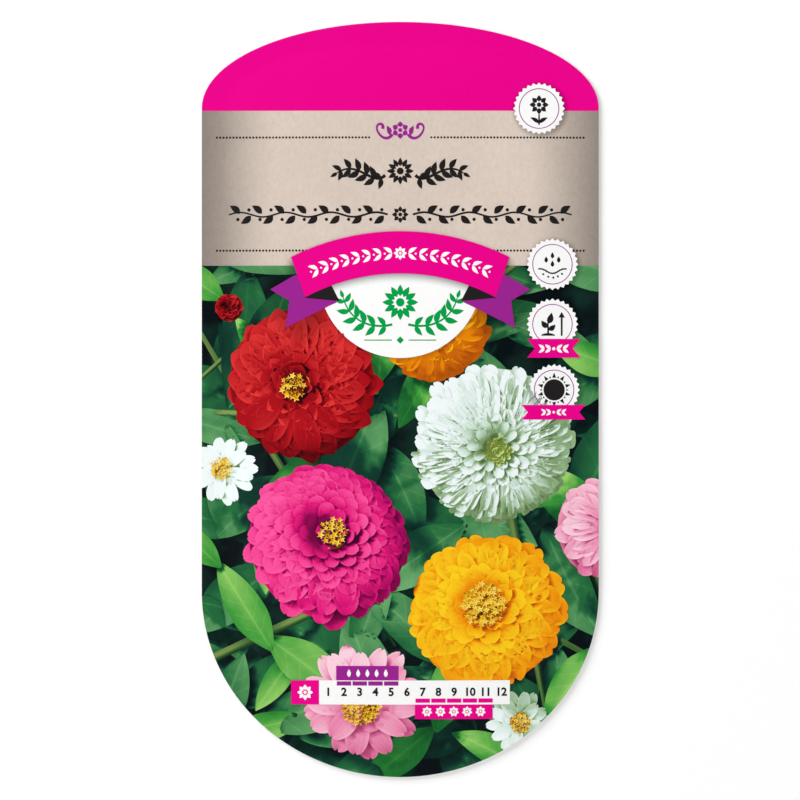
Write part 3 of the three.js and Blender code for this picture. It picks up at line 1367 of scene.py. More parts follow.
@dataclass
class Seals:
    """The four toothed white seals down the right side, two of them with a swallow-tailed label.

    A label's numbers are its left, right, top and bottom and the depth of its notches. Those of its marks
    are their middle and their size.
    """

    form: PacketForm
    layout: Layout
    teeth: int = 28
    tooth: float = 0.55
    ring_radius: float = 4.74
    ring_width: float = 0.19
    labels: tuple[tuple[float, ...], ...] = ((30.3, 43.1, 14.5, 10.0, 1.9), (29.0, 44.3, -1.3, -4.8, 1.5))
    marks: tuple[Triple, ...] = ((36.7, 12.15, 1.5), (36.7, -3.05, 1.2))
    mark_splay: float = 55.0
    sun_rays: int = 20

    def build(self) -> None:
        """Makes the seals, their rings, their pictures and their labels."""
        discs = Drawing(self.form, "seal_discs", Ink.WHITE, Level.UNDER)
        rings = Drawing(self.form, "seal_rings", Ink.PURPLE, Level.MIDDLE, cell=SMALL_CELL)
        pictures = Drawing(self.form, "seal_pictures", Ink.CHARCOAL, Level.MIDDLE, cell=SMALL_CELL)
        radius = self.layout.seal_radius
        for draw, centre in zip((self.flower, self.sowing, self.sprout, self.sun), self.layout.seals):
            discs.add(star(centre, radius, radius - self.tooth, self.teeth))
            rings.ring(centre, self.ring_radius, self.ring_width)
            draw(pictures, centre)
        labels = Drawing(self.form, "seal_labels", Ink.PINK, Level.OVER)
        for label in self.labels:
            labels.add(self.label(*label))
        marks = Drawing(self.form, "seal_label_marks", Ink.WHITE, Level.TOP, cell=SMALL_CELL)
        for x, y, size in self.marks:
            for side in (-1, 1):
                for foot in ((x + side * (0.7 + number * size), y) for number in range(2)):
                    for up in (1, -1):
                        turn = up * (90 - side * self.mark_splay)
                        marks.add(leaf_outline(foot, size * 1.15, size * 0.5, turn))
            marks.add(circle((x, y), size * 0.26, 10))
        for drawing in (discs, rings, pictures, labels, marks):
            drawing.lay()

    def label(self, left: float, right: float, top: float, bottom: float, notch: float) -> list[Point]:
        """The corners of a label with a notch at both ends."""
        middle = (top + bottom) / 2
        return [(left, bottom), (right, bottom), (right - notch, middle), (right, top), (left, top),
                (left + notch, middle)]

    def flower(self, drawing: Drawing, centre: Point) -> None:
        """Draws a flower with two leaves.

        Args:
            drawing: Where it is drawn.
            centre: The seal's centre.
        """
        x, y = centre
        blossom(drawing, (x, y + 0.9), 2.3, 8, 0.34)
        drawing.add(stroke(curve((x, y - 1.4), (x, y - 2.4), (x, y - 3.0), (x, y - 3.9), 5), (0.34, 0.42)))
        for side in (-1, 1):
            drawing.add(leaf_outline((x, y - 3.5), 2.5, 0.95, 90 - side * 58, side * 0.08))

    def sowing(self, drawing: Drawing, centre: Point) -> None:
        """Draws seeds that fall into a furrow.

        Args:
            drawing: Where it is drawn.
            centre: The seal's centre.
        """
        x, y = centre
        for across, up in ((-1.5, 1.1), (0, 2.1), (1.5, 1.1), (0, 0.1)):
            drawing.add(leaf_outline((x + across, y + up - 0.75), 1.5, 0.85, 90))
        line = curve((x - 3.4, y - 1.1), (x - 1.6, y - 0.9), (x - 1.4, y - 2.2), (x, y - 2.2), 6)
        line += [(2 * x - left, up) for left, up in line[-2::-1]]
        drawing.add(stroke(line, (0.36, 0.36)))
        for across, up in ((-2.2, -2.4), (-1.0, -3.0), (0.2, -3.2), (1.3, -2.9), (2.3, -2.3)):
            drawing.add(circle((x + across, y + up), 0.26, 8))

    def sprout(self, drawing: Drawing, centre: Point) -> None:
        """Draws a seedling and an arrow that shows how tall it grows.

        Args:
            drawing: Where it is drawn.
            centre: The seal's centre.
        """
        x, y = centre
        foot_x = x - 1.05
        drawing.add(stroke([(foot_x, y - 2.3), (foot_x, y - 1.0), (foot_x - 0.05, y + 0.4)], (0.46, 0.30)))
        drawing.add(leaf_outline((foot_x, y + 0.1), 2.8, 1.5, 72, -0.06))
        drawing.add(leaf_outline((foot_x, y - 0.8), 2.3, 1.35, 134, 0.08))
        drawing.add(leaf_outline((foot_x, y - 1.4), 2.2, 1.25, 36, -0.08))
        drawing.add([(foot_x + 1.7 * math.cos(turn), y - 2.75 + 0.62 * math.sin(turn))
                     for turn in (math.pi * step / 8 for step in range(9))])
        drawing.add(rectangle(x + 2.0, y - 2.75, x + 2.44, y + 1.7))
        drawing.add([(x + 1.45, y + 1.6), (x + 2.99, y + 1.6), (x + 2.22, y + 2.95)])

    def sun(self, drawing: Drawing, centre: Point) -> None:
        """Draws a sun with short rays.

        Args:
            drawing: Where it is drawn.
            centre: The seal's centre.
        """
        drawing.add(circle(centre, 2.55, 32))
        foot = 2.95
        for ray in range(self.sun_rays):
            turn = 90 + ray * 360 / self.sun_rays
            half_width, tip = (5, 3.45) if ray % 2 else (9, 4.15)
            drawing.add([polar(centre, foot, turn - half_width), polar(centre, foot, turn + half_width),
                         polar(centre, tip, turn)])


@dataclass
class Calendar:
    """The strip of twelve months, with the months to sow and the months in flower marked by bars.

    A pink tag stands at the strip's left end, a purple tab over the months to sow and a pink one under the
    months in flower.
    """

    form: PacketForm
    left: float = -19.4
    bottom: float = -72.9
    right: float = 26.2
    top: float = -67.1
    tag_width: float = 6.7
    first: float = -17.2
    pitch: float = 3.76
    digit_size: float = 2.7
    digits_y: float = -69.95
    bar: Pair = (3.44, 1.02)
    tab_height: float = 3.5
    sow_tab: Pair = (-15.3, -0.4)
    sow_months: range = range(1, 5)
    sow_bars_y: float = -67.82
    bloom_tab: Pair = (3.5, 22.1)
    bloom_months: range = range(6, 11)
    bloom_bars_y: float = -71.95
    marks: tuple[int, ...] = (-2, -1, 0, 1, 2)

    def build(self) -> None:
        """Makes the strip, its tag, its tabs, its bars, its numbers and its marks."""
        strip = Drawing(self.form, "calendar_strip", Ink.WHITE, Level.UNDER)
        strip.add(rectangle(self.left, self.bottom, self.right, self.top))
        pink = Drawing(self.form, "calendar_pink", Ink.PINK, Level.MIDDLE)
        pink.add(rectangle(self.left - self.tag_width, self.bottom, self.left, self.top))
        pink.add(rectangle(self.bloom_tab[0], self.bottom - self.tab_height, self.bloom_tab[1], self.bottom))
        self.draw_bars(pink, self.bloom_months, self.bloom_bars_y)
        purple = Drawing(self.form, "calendar_purple", Ink.PURPLE, Level.MIDDLE)
        purple.add(rectangle(self.sow_tab[0], self.top, self.sow_tab[1], self.top + self.tab_height))
        self.draw_bars(purple, self.sow_months, self.sow_bars_y)
        numbers = Drawing(self.form, "calendar_numbers", Ink.CHARCOAL, Level.MIDDLE, cell=WIDE_CELL)
        for month in range(12):
            numbers.digits(str(month + 1), (self.first + month * self.pitch, self.digits_y), self.digit_size)
        marks = Drawing(self.form, "calendar_marks", Ink.WHITE, Level.OVER, cell=WIDE_CELL)
        self.draw_marks(marks)
        for drawing in (strip, pink, purple, numbers, marks):
            drawing.lay()

    def draw_bars(self, drawing: Drawing, months: range, y: float) -> None:
        """Draws a short bar for each of some months.

        Args:
            drawing: Where they are drawn.
            months: The months, from 0.
            y: The middle of the bars.
        """
        width, height = self.bar
        for month in months:
            x = self.first + month * self.pitch
            drawing.add(rectangle(x - width / 2, y - height / 2, x + width / 2, y + height / 2))

    def draw_marks(self, drawing: Drawing) -> None:
        """Draws drops on the tab of the months to sow, and flowers on the other tab and on the tag.

        Args:
            drawing: Where they are drawn.
        """
        sow_middle, bloom_middle = sum(self.sow_tab) / 2, sum(self.bloom_tab) / 2
        for number in self.marks:
            drawing.add(leaf_outline((sow_middle + number * 2.2, self.top + 0.8), 1.9, 0.95, 90))
            blossom(drawing, (bloom_middle + number * 3.2, self.bottom - 1.7), 1.25, 7)
        blossom(drawing, (self.left - self.tag_width / 2, (self.bottom + self.top) / 2), 1.9, 8)


@dataclass
class Ornaments:
    """The dotted rules and the leafy ornaments on the brown paper, where words would stand.

    A rule's numbers are its height on the packet, and how far from the middle its halves start and end.
    """

    form: PacketForm
    dot: float = 0.27
    pitch: float = 0.792
    rules: tuple[Triple, ...] = ((62.66, 7.44, 43.9), (35.6, 21.7, 43.9))
    garland_start: float = 3.0
    garland_end: float = 41.0
    garland_y: float = 44.2
    garland_wave: float = 0.55
    garland_leaves: int = 14
    garland_steps: int = 70

    def drawing(self, name: str, ink: Ink = Ink.CHARCOAL) -> Drawing:
        """A drawing on the brown paper."""
        return Drawing(self.form, name, ink, Level.KRAFT, cell=UNCUT)

    def build(self) -> None:
        """Makes the rules, the small flourish, the large scroll and the long garland."""
        dots = self.drawing("dotted_rules")
        for y, start, end in self.rules:
            for number in range(int((end - start) / self.pitch) + 1):
                for side in (-1, 1):
                    dots.add(circle((side * (start + number * self.pitch), y), self.dot, 10))
        dots.lay()
        self.flourish()
        self.scroll()
        self.garland()

    def flourish(self) -> None:
        """Makes the small purple flourish between the upper dotted rules."""
        drawing = self.drawing("purple_flourish", Ink.PURPLE)
        blossom(drawing, (0, 64.4), 2.1, 6, 0.34)
        stem = stroke(curve((1.9, 63.4), (3.2, 61.4), (5.2, 63.0), (5.6, 64.7), 14), (0.8, 0.45))
        curl = stroke(curve((5.6, 64.7), (5.8, 66.3), (3.7, 66.3), (4.2, 64.7), 10), (0.45, 0.8))
        for side in (-1, 1):
            drawing.add(on_side(side, stem))
            drawing.add(on_side(side, curl))
            drawing.add(leaf_outline((side * 2.5, 63.2), 2.4, 1.2, 90 - side * 18, side * 0.10))
        drawing.lay()

    def scroll(self) -> None:
        """Makes the large leafy scroll in the middle of the paper."""
        drawing = self.drawing("leaf_scroll")
        blossom(drawing, (0, 54.6), 3.25, 12, 0.36)
        branch = curve((3.6, 53.6), (6.6, 50.6), (10.2, 57.6), (15.0, 54.2), 20)
        for side in (-1, 1):
            twig(drawing, on_side(side, branch), (3.3, 1.5), 6, (0.8, 0.4))
        drawing.lay()

    def garland(self) -> None:
        """Makes the long row of leaves under the scroll."""
        drawing = self.drawing("leaf_garland")
        y, first = self.garland_y, self.garland_start + 0.9
        line = []
        for step in range(self.garland_steps + 1):
            share = step / self.garland_steps
            swing = self.garland_wave * math.sin(share * math.pi * self.garland_leaves / 2)
            line.append((lerp(self.garland_start, self.garland_end, share), y + swing))
        for side in (-1, 1):
            drawing.add(stroke(on_side(side, line), (0.5, 0.36)))
            for number in range(self.garland_leaves):
                x = lerp(first, self.garland_end, number / self.garland_leaves)
                up = 1 if number % 2 else -1
                lean = up * (90 - side * 52)
                drawing.add(leaf_outline((side * x, y + 0.25 * up), 3.1, 1.6, lean, side * up * 0.07))
                drawing.add(circle((side * (x + 0.5), y - up * 1.15), 0.42, 8))
        blossom(drawing, (0, y), 2.0, 8, 0.34)
        drawing.lay()


# --- The printed garden ---

PEARL = PlantInk("petal_white", (
    (0.05, 84, 112, 62), (0.24, 148, 180, 134),
    (0.46, 208, 230, 216), (0.76, 244, 252, 252)), foot_share=0.24)
MAGENTA = PlantInk("petal_magenta", (
    (0.08, 62, 0, 36), (0.34, 150, 4, 84),
    (0.60, 226, 22, 120), (1.00, 255, 88, 162)))
GOLD = PlantInk("petal_gold", (
    (0.05, 156, 66, 6), (0.28, 204, 100, 8),
    (0.58, 244, 148, 6), (0.98, 255, 208, 28)))
SCARLET = PlantInk("petal_scarlet", (
    (0.06, 40, 0, 6), (0.34, 112, 2, 12),
    (0.64, 172, 12, 24), (1.00, 228, 54, 52)))
ROSE = PlantInk("petal_rose", (
    (0.06, 120, 30, 66), (0.32, 200, 84, 130),
    (0.60, 238, 140, 178), (0.98, 255, 212, 226)))
FLORET_GOLD = PlantInk("floret_gold", (
    (0.08, 84, 40, 2), (0.32, 180, 112, 6),
    (0.58, 240, 188, 30), (0.90, 255, 232, 116)), rim=0.0)
FLORET_GREEN = PlantInk("floret_green", (
    (0.08, 112, 132, 56), (0.32, 168, 190, 92),
    (0.58, 206, 224, 132), (0.90, 236, 244, 190)), rim=0.0)
LEAF_DEEP = PlantInk("leaf_deep", (
    (0.05, 4, 20, 20), (0.30, 14, 60, 46),
    (0.60, 38, 110, 62), (1.00, 112, 176, 112)),
    veins=3.0, midrib=0.14, rim=0.03, blotch=0.22)
LEAF_BRIGHT = PlantInk("leaf_bright", (
    (0.05, 10, 40, 24), (0.28, 24, 98, 44),
    (0.56, 62, 154, 60), (1.00, 158, 214, 108)),
    veins=3.0, midrib=0.13, rim=0.03, blotch=0.20)
STEM_GREEN = PlantInk("stem_green", (
    (0.08, 12, 34, 22), (0.40, 50, 92, 44), (0.95, 142, 168, 92)))


@dataclass(frozen=True)
class BladeForm:
    """One petal or leaf, from its foot at the origin along +X, with its upper side towards +Z."""

    length: float
    width: float
    foot: float = 0.36
    widest: float = 0.60
    tip: float = 0.20
    blunt: float = 0.5
    notch: float = 0.03
    arch: float = 0.05
    cup: float = 0.10
    curl: float = 0.0
    wave: float = 0.0
    cells: tuple[int, int] = (9, 6)

    def point(self, along: float, across: float) -> Vector:
        """A point of the blade.

        Args:
            along: From 0 at the foot to 1 at the tip.
            across: From -1 at one edge to 1 at the other.

        Returns:
            The point, in the blade's own frame.
        """
        share = self.foot + (1 - self.foot) * math.sin(min(1.0, along / self.widest) * math.pi / 2)
        past = max(0.0, (along - self.widest) / (1 - self.widest))
        half = self.width / 2 * share * (1 - (1 - self.tip ** (1 / self.blunt)) * past ** 2.2) ** self.blunt
        dip = self.notch * along ** 8 * max(0.0, 1 - (across / 0.4) ** 2)
        z = self.length * (self.arch * 4 * along * (1 - along) - self.curl * along ** 4)
        z += self.cup * 2 / self.width * (half * across) ** 2 * min(1.0, 0.2 + along)
        z += self.wave * math.sin(along * 15) * abs(across) ** 3
        return Vector((self.length * (along - dip), half * across, z))


@dataclass
class Plant:
    """A plant of the garden as it grows: its mesh, and the layers that its ink reads."""

    name: str
    inks: list[PlantInk]
    bm: BMesh = field(default_factory=bmesh.new)
    layers: dict[str, Any] = field(default_factory=dict)
    kept: set[bmesh.types.BMFace] = field(default_factory=set)
    open: set[bmesh.types.BMVert] = field(default_factory=set)

    def __post_init__(self) -> None:
        """Adds the layers to the empty mesh."""
        for name in ("along", "across", "tone", "lit"):
            self.layers[name] = self.bm.verts.layers.float.new(name)

    def mark(self, vert: bmesh.types.BMVert, along: float, across: float, tone: float, ink: int) -> None:
        """Writes a vertex's place on its petal in the layers, and gives its faces their ink.

        Args:
            vert: The vertex.
            along: Its place from foot to tip.
            across: Its place from edge to edge.
            tone: The petal's own tone.
            ink: The number of the ink.
        """
        vert[self.layers["along"]] = along
        vert[self.layers["across"]] = across
        vert[self.layers["tone"]] = tone
        for face in vert.link_faces:
            face.material_index = ink

    def blade(self, form: BladeForm, place: Matrix, tone: float, ink: int = 0) -> None:
        """Adds one petal or leaf.

        Args:
            form: Its form.
            place: Its place in the garden.
            tone: How light it is against its neighbours, from 0 to 1.
            ink: The number of its ink.
        """
        made = bmesh.ops.create_grid(self.bm, x_segments=form.cells[0], y_segments=form.cells[1], size=1.0)
        for vert in made["verts"]:
            along, across = 1 - ((1 - vert.co.x) / 2) ** 1.5, vert.co.y
            self.mark(vert, along, across, tone, ink)
            vert.co = place @ form.point(along, across)

    def star(self, radius: float, place: Matrix, tone: float, ink: int, lobes: int = 5) -> None:
        """Adds one small star-shaped floret.

        Args:
            radius: The floret's radius.
            place: Its place in the garden.
            tone: How light it is against its neighbours.
            ink: The number of its ink.
            lobes: Number of points.
        """
        made = bmesh.ops.create_circle(
            self.bm, cap_ends=True, cap_tris=True, segments=2 * lobes, radius=radius)
        for number, vert in enumerate(made["verts"]):
            reach = vert.co.length / radius
            if reach > 0.5 and number % 2:
                vert.co *= 0.45
            self.mark(vert, reach, 0.0, tone, ink)
            vert.co.z = radius * (0.5 * reach * reach - 0.3)
            vert.co = place @ vert.co


@dataclass(frozen=True)
class FlowerHead:
    """One flower head of the garden: petals in a spiral up a dome, round a core of small florets."""

    name: str
    centre: Triple
    radius: float
    petals: int
    petal: BladeForm
    petal_ink: PlantInk
    seed: int
    floret_ink: PlantInk = FLORET_GOLD
    dome: float = 0.46
    crowding: float = 0.52
    lean: float = 12.0
    lean_towards: float = 90.0
    inner_size: float = 0.52
    rim_lift: float = 16.0
    core_lift: float = 44.0
    rim_curl: float = 0.08
    core_curl: float = -0.16
    core: float = 0.15
    steepest: float = 42.0
    cushion_depth: float = 2.0
    cushion_reach: float = 0.90
    shoots: int = 26
    shoot_ink: int = 0
    florets: int = 24
    floret_size: float = 0.9
    unruly: float = 1.0

    @property
    def stand(self) -> Matrix:
        """The head's place and lean.

        Returns:
            The matrix that brings the head into the garden.
        """
        towards = math.radians(self.lean_towards)
        axis = Vector((-math.sin(towards), math.cos(towards), 0))
        return Matrix.Translation(self.centre) @ Matrix.Rotation(math.radians(self.lean), 4, axis)

    def crown(self, reach: float) -> float:
        """The dome's height at a share of the radius."""
        return self.radius * self.dome * max(0.0, 1 - reach ** 2.2) ** 0.6

    def slope(self, reach: float) -> float:
        """The dome's slope at a share of the radius, in degrees, downwards as a minus.

        Args:
            reach: The share of the radius.

        Returns:
            The slope.
        """
        step = 0.02
        inside, outside = max(0.0, reach - step), min(1.0, reach + step)
        fall = (self.crown(outside) - self.crown(inside)) / (self.radius * (outside - inside))
        return max(-self.steepest, math.degrees(math.atan(fall)))

    def grow(self) -> Plant:
        """Grows the head's cushion, petals, young shoots and florets.

        Returns:
            The plant.
        """
        chance = random.Random(self.seed)
        plant = Plant(self.name, [self.petal_ink, self.floret_ink])
        self.add_cushion(plant)
        for add, count in ((self.add_petal, self.petals), (self.add_shoot, self.shoots),
                           (self.add_floret, self.florets)):
            for number in range(count):
                add(plant, number, chance)
        return plant

    def add_shoot(self, plant: Plant, number: int, chance: random.Random) -> None:
        """Adds one young petal, which stands up round the core.

        Args:
            plant: The plant that it grows on.
            number: The shoot's number.
            chance: The head's random numbers.
        """
        reach = self.core * lerp(1.25, 0.45, (number + 0.5) / self.shoots)
        length = self.petal.length * 0.34 * chance.uniform(0.8, 1.2)
        form = BladeForm(length, length * 0.42, foot=0.7, cup=0.9, curl=-0.3, cells=(4, 3))
        rise = lerp(74, 46, reach / self.core) + chance.gauss(0, 6)
        self.place_blade(plant, form, reach, number * GOLDEN_ANGLE, rise, self.shoot_ink, chance)

    def add_floret(self, plant: Plant, number: int, chance: random.Random) -> None:
        """Adds one small floret of the core.

        Args:
            plant: The plant that it grows on.
            number: The floret's number.
            chance: The head's random numbers.
        """
        reach = self.core * 1.05 * math.sqrt((number + 0.5) / self.florets)
        angle = number * GOLDEN_ANGLE
        spot = Vector((self.radius * reach * math.cos(angle), self.radius * reach * math.sin(angle),
                       self.crown(reach) + chance.uniform(-0.2, 1.2)))
        tilt = Matrix.Rotation(chance.uniform(-0.5, 0.5), 4, "X")
        tilt @= Matrix.Rotation(chance.uniform(0, 6), 4, "Z")
        size = self.floret_size * chance.uniform(0.75, 1.2)
        plant.star(size, self.stand @ Matrix.Translation(spot) @ tilt, chance.random(), 1)

    def add_cushion(self, plant: Plant) -> None:
        """Adds the cushion under the petals, which closes the gaps between them.

        Args:
            plant: The plant that it belongs to.
        """
        stand = self.stand
        made = bmesh.ops.create_uvsphere(plant.bm, u_segments=24, v_segments=16, radius=1.0)
        below = [vert for vert in made["verts"] if vert.co.z < -0.01]
        bmesh.ops.delete(plant.bm, geom=below, context="VERTS")
        for vert in plant.bm.verts:
            reach = math.hypot(vert.co.x, vert.co.y) * self.cushion_reach
            x, y = (self.radius * self.cushion_reach * part for part in vert.co.xy)
            plant.mark(vert, 0.4, 0.0, 0.3, int(reach < self.core * 1.05))
            vert.co = stand @ Vector((x, y, self.crown(reach) - self.cushion_depth))
        plant.kept.update(plant.bm.faces)

    def add_petal(self, plant: Plant, number: int, chance: random.Random) -> None:
        """Adds one petal, the outermost first.

        Args:
            plant: The plant that it grows on.
            number: The petal's number.
            chance: The head's random numbers.
        """
        share = (number + 0.5) / self.petals
        reach = lerp(self.core, 1.0, (1 - share) ** self.crowding) * chance.uniform(0.98, 1.02)
        inward = smoothstep(0.15, 0.85, 1 - reach)
        size = lerp(1.0, self.inner_size, inward) * chance.uniform(0.95, 1.05)
        form = replace(
            self.petal,
            length=self.petal.length * size,
            width=self.petal.width * size * chance.uniform(0.93, 1.07),
            cup=self.petal.cup * chance.uniform(0.7, 1.3),
            notch=self.petal.notch * chance.uniform(0, 2),
            curl=lerp(self.rim_curl, self.core_curl, inward) * chance.uniform(0.6, 1.4),
        )
        lift = lerp(self.rim_lift, self.core_lift, inward)
        rise = self.slope(reach) + lift + chance.gauss(0, 2.5) * self.unruly
        angle = number * GOLDEN_ANGLE + chance.gauss(0, 0.03)
        self.place_blade(plant, form, reach, angle, rise, 0, chance)

    def place_blade(self, plant: Plant, form: BladeForm, reach: float, angle: float,
                    rise: float, ink: int, chance: random.Random) -> None:
        """Sets one petal on the head, its tip on the dome.

        Args:
            plant: The plant that it grows on.
            form: The petal's form.
            reach: Its tip's distance from the middle, over the radius.
            angle: The way it points, in radians.
            rise: How steeply it climbs to its tip, in degrees.
            ink: The number of its ink.
            chance: The head's random numbers.
        """
        climb = math.radians(rise)
        foot = Vector((self.radius * reach - form.length * math.cos(climb), 0,
                       self.crown(min(1.0, reach)) - form.length * math.sin(climb)))
        place = (Matrix.Rotation(angle, 4, "Z") @ Matrix.Translation(foot)
                 @ Matrix.Rotation(-climb, 4, "Y")
                 @ Matrix.Rotation(chance.gauss(0, 0.07) * self.unruly, 4, "X")
                 @ Matrix.Rotation(chance.gauss(0, 0.04), 4, "Z"))
        plant.blade(form, self.stand @ place, chance.random(), ink)


@dataclass(frozen=True)
class LeafBed:
    """Leaves or stems strewn under the flower heads, the lowest first."""

    name: str
    ink: PlantInk
    count: int
    low: float
    high: float
    lengths: Pair
    seed: int
    widths: Pair = (0.34, 0.46)
    foot: float = 0.10
    tip: float = 0.04
    tilt: float = 15.0
    cups: Pair = (0.15, 0.8)
    arches: Pair = (0.02, 0.08)
    spread: tuple[float, float, float, float] = (-50.0, 50.0, -92.0, 36.0)

    def grow(self) -> Plant:
        """Grows the leaves.

        Returns:
            The plant.
        """
        chance = random.Random(self.seed)
        plant = Plant(self.name, [self.ink])
        left, right, bottom, top = self.spread
        for number in range(self.count):
            length = chance.uniform(*self.lengths)
            form = BladeForm(length, length * chance.uniform(*self.widths), foot=self.foot, widest=0.42,
                             tip=self.tip, blunt=1.0, notch=0.0, arch=chance.uniform(*self.arches),
                             cup=chance.uniform(*self.cups), curl=chance.uniform(-0.05, 0.22),
                             wave=chance.uniform(0.0, 0.3), cells=(24, 8))
            spot = Vector((chance.uniform(left, right), chance.uniform(bottom, top),
                           lerp(self.low, self.high, number / self.count)))
            place = (Matrix.Translation(spot) @ Matrix.Rotation(chance.uniform(0, math.tau), 4, "Z")
                     @ Matrix.Rotation(math.radians(chance.uniform(-1.0, 0.8) * self.tilt), 4, "Y")
                     @ Matrix.Rotation(math.radians(chance.uniform(-1.6, 1.6) * self.tilt), 4, "X")
                     @ Matrix.Translation((-length / 2, 0, 0)))
            plant.blade(form, place, chance.random())
        return plant


@dataclass
class Garden:
    """The printed picture: plants grown in full, lit, and then pressed flat on to the front."""

    form: PacketForm
    layout: Layout
    plants: list[Plant]
    sun: Vector = field(default_factory=lambda: Vector((-0.46, 0.44, 0.77)).normalized())
    sun_share: float = 0.62
    sky_power: float = 1.6
    sun_rays: int = 3
    sun_spread: float = 0.05
    sky_rays: int = 24
    reach: float = 16.0
    skin: float = 0.15
    soften_rounds: int = 3
    covered_share: float = 0.72
    floor: float = -32.0
    leaf_relief: float = 0.0018
    head_relief: float = 0.0048

    def build(self) -> None:
        """Culls, lights, trims and presses every plant, and makes its piece."""
        tree = self.canopy()
        sky, suns = self.sky(), self.suns()
        form, steps = self.form, self.form.rim_steps
        edges = [(Vector((0, self.layout.picture_to_y, 0)), Vector((0, 1, 0)), True)]
        edges += [(*plane, True) for plane in form.edge_planes(steps)]
        edges += [(*plane, False) for plane in form.edge_planes(steps, form.seam_width)]
        for plant in self.plants:
            self.cull(plant, tree)
            self.light(plant, tree, sky, suns)
            self.trim(plant, edges)
            self.press(plant)
            inks = [ink.material() for ink in plant.inks]
            self.shade_flat(make_piece(plant.bm, f"print_{plant.name}", inks))

    def shade_flat(self, piece: bpy.types.Object) -> None:
        """Gives a pressed plant the board's own normals, so that light falls on it as on flat print."""
        normals = [self.form.normal(vert.co.x / MM, vert.co.y / MM) for vert in piece.data.vertices]
        piece.data.normals_split_custom_set_from_vertices(normals)

    def canopy(self) -> BVHTree:
        """Everything that grows in the garden, ready for rays.

        Returns:
            The garden's faces as a tree.
        """
        points, polygons = [], []
        for plant in self.plants:
            start = len(points)
            plant.bm.normal_update()
            plant.bm.verts.index_update()
            points += [vert.co.copy() for vert in plant.bm.verts]
            polygons += [[start + vert.index for vert in face.verts] for face in plant.bm.faces]
        log.info("garden: %d corners, %d faces", len(points), len(polygons))
        return BVHTree.FromPolygons(points, polygons)

    def sky(self) -> list[Vector]:
        """Directions spread evenly over the sky.

        Returns:
            The directions, each of length 1.
        """
        directions = []
        for number in range(self.sky_rays):
            height = lerp(0.12, 0.98, (number + 0.5) / self.sky_rays)
            angle = number * GOLDEN_ANGLE
            level = math.sqrt(1 - height * height)
            directions.append(Vector((level * math.cos(angle), level * math.sin(angle), height)))
        return directions

    def suns(self) -> list[Vector]:
        """Directions to a few places on the sun's disc, which soften its shadows.

        Returns:
            The directions, each of length 1.
        """
        side = self.sun.cross(UP).normalized()
        turns = [Matrix.Rotation(math.tau * ray / self.sun_rays, 3, self.sun) for ray in range(self.sun_rays)]
        return [(self.sun + turn @ side * self.sun_spread).normalized() for turn in turns]

    def cull(self, plant: Plant, tree: BVHTree) -> None:
        """Takes away the faces that nobody sees from above, apart from those next to a face that shows.

        Args:
            plant: The plant.
            tree: The whole garden's faces.
        """
        bm, lift = plant.bm, UP * self.skin

        def shows(point: Vector) -> bool:
            """Whether nothing covers a point."""
            return tree.ray_cast(point + lift, UP)[0] is None

        plant.open = {vert for vert in bm.verts if shows(vert.co)}
        seen = {face for vert in plant.open for face in vert.link_faces}
        seen |= {face for edge in bm.edges if shows((edge.verts[0].co + edge.verts[1].co) / 2)
                 for face in edge.link_faces}
        seen |= {face for face in bm.faces if face not in seen and shows(face.calc_center_median())}
        margin = {vert for face in seen | plant.kept for vert in face.verts}
        unseen = [face for face in bm.faces if not any(vert in margin for vert in face.verts)]
        bmesh.ops.delete(bm, geom=unseen, context="FACES")

    def light(self, plant: Plant, tree: BVHTree, sky: list[Vector], suns: list[Vector]) -> None:
        """Works out how much light each vertex gets, and writes it in the plant's lit layer.

        Args:
            plant: The plant.
            tree: The whole garden's faces.
            sky: Directions over the sky.
            suns: Directions to the sun's disc.
        """
        lit = plant.layers["lit"]
        full = sum(direction.z for direction in sky)
        for vert in plant.bm.verts:
            normal = vert.normal if vert.normal.z >= 0 else -vert.normal
            start = vert.co + normal * self.skin
            glow = 0.0
            for direction in sky:
                weight = normal.dot(direction)
                if weight > 0 and tree.ray_cast(start, direction, self.reach)[0] is None:
                    glow += weight
            facing = max(0.0, normal.dot(self.sun))
            if facing:
                open_rays = sum(tree.ray_cast(start, ray, 2 * self.reach)[0] is None for ray in suns)
                facing *= open_rays / len(suns)
            vert[lit] = self.sun_share * facing + (1 - self.sun_share) * (glow / full) ** self.sky_power
        for _ in range(self.soften_rounds):
            self.soften(plant)

    def soften(self, plant: Plant) -> None:
        """Lifts the light of covered corners next to open ones, so that no petal shows a hard dark end.

        Args:
            plant: The plant.
        """
        lit = plant.layers["lit"]
        lifted = {}
        for vert in plant.bm.verts:
            if vert not in plant.open:
                near = [edge.other_vert(vert) for edge in vert.link_edges]
                lights = [other[lit] for other in near if other in plant.open]
                if lights:
                    lifted[vert] = max(vert[lit], self.covered_share * sum(lights) / len(lights))
        for vert, value in lifted.items():
            vert[lit] = value
        plant.open.update(lifted)

    def trim(self, plant: Plant, edges: list[tuple[Vector, Vector, bool]]) -> None:
        """Cuts the plant off at the picture's edges, and along the line where the board starts to swell.

        Args:
            plant: The plant.
            edges: Each plane's point and way out, and whether what lies past it is taken away.
        """
        bm = plant.bm
        xs, ys = [vert.co.x for vert in bm.verts], [vert.co.y for vert in bm.verts]
        corners = [Vector((x, y, 0)) for x in (min(xs), max(xs)) for y in (min(ys), max(ys))]
        for edge, out, clear in edges:
            if any((corner - edge).dot(out) > 0 for corner in corners):
                bmesh.ops.bisect_plane(bm, geom=bm.verts[:] + bm.edges[:] + bm.faces[:], dist=1e-4,
                                       plane_co=edge, plane_no=out, clear_outer=clear)

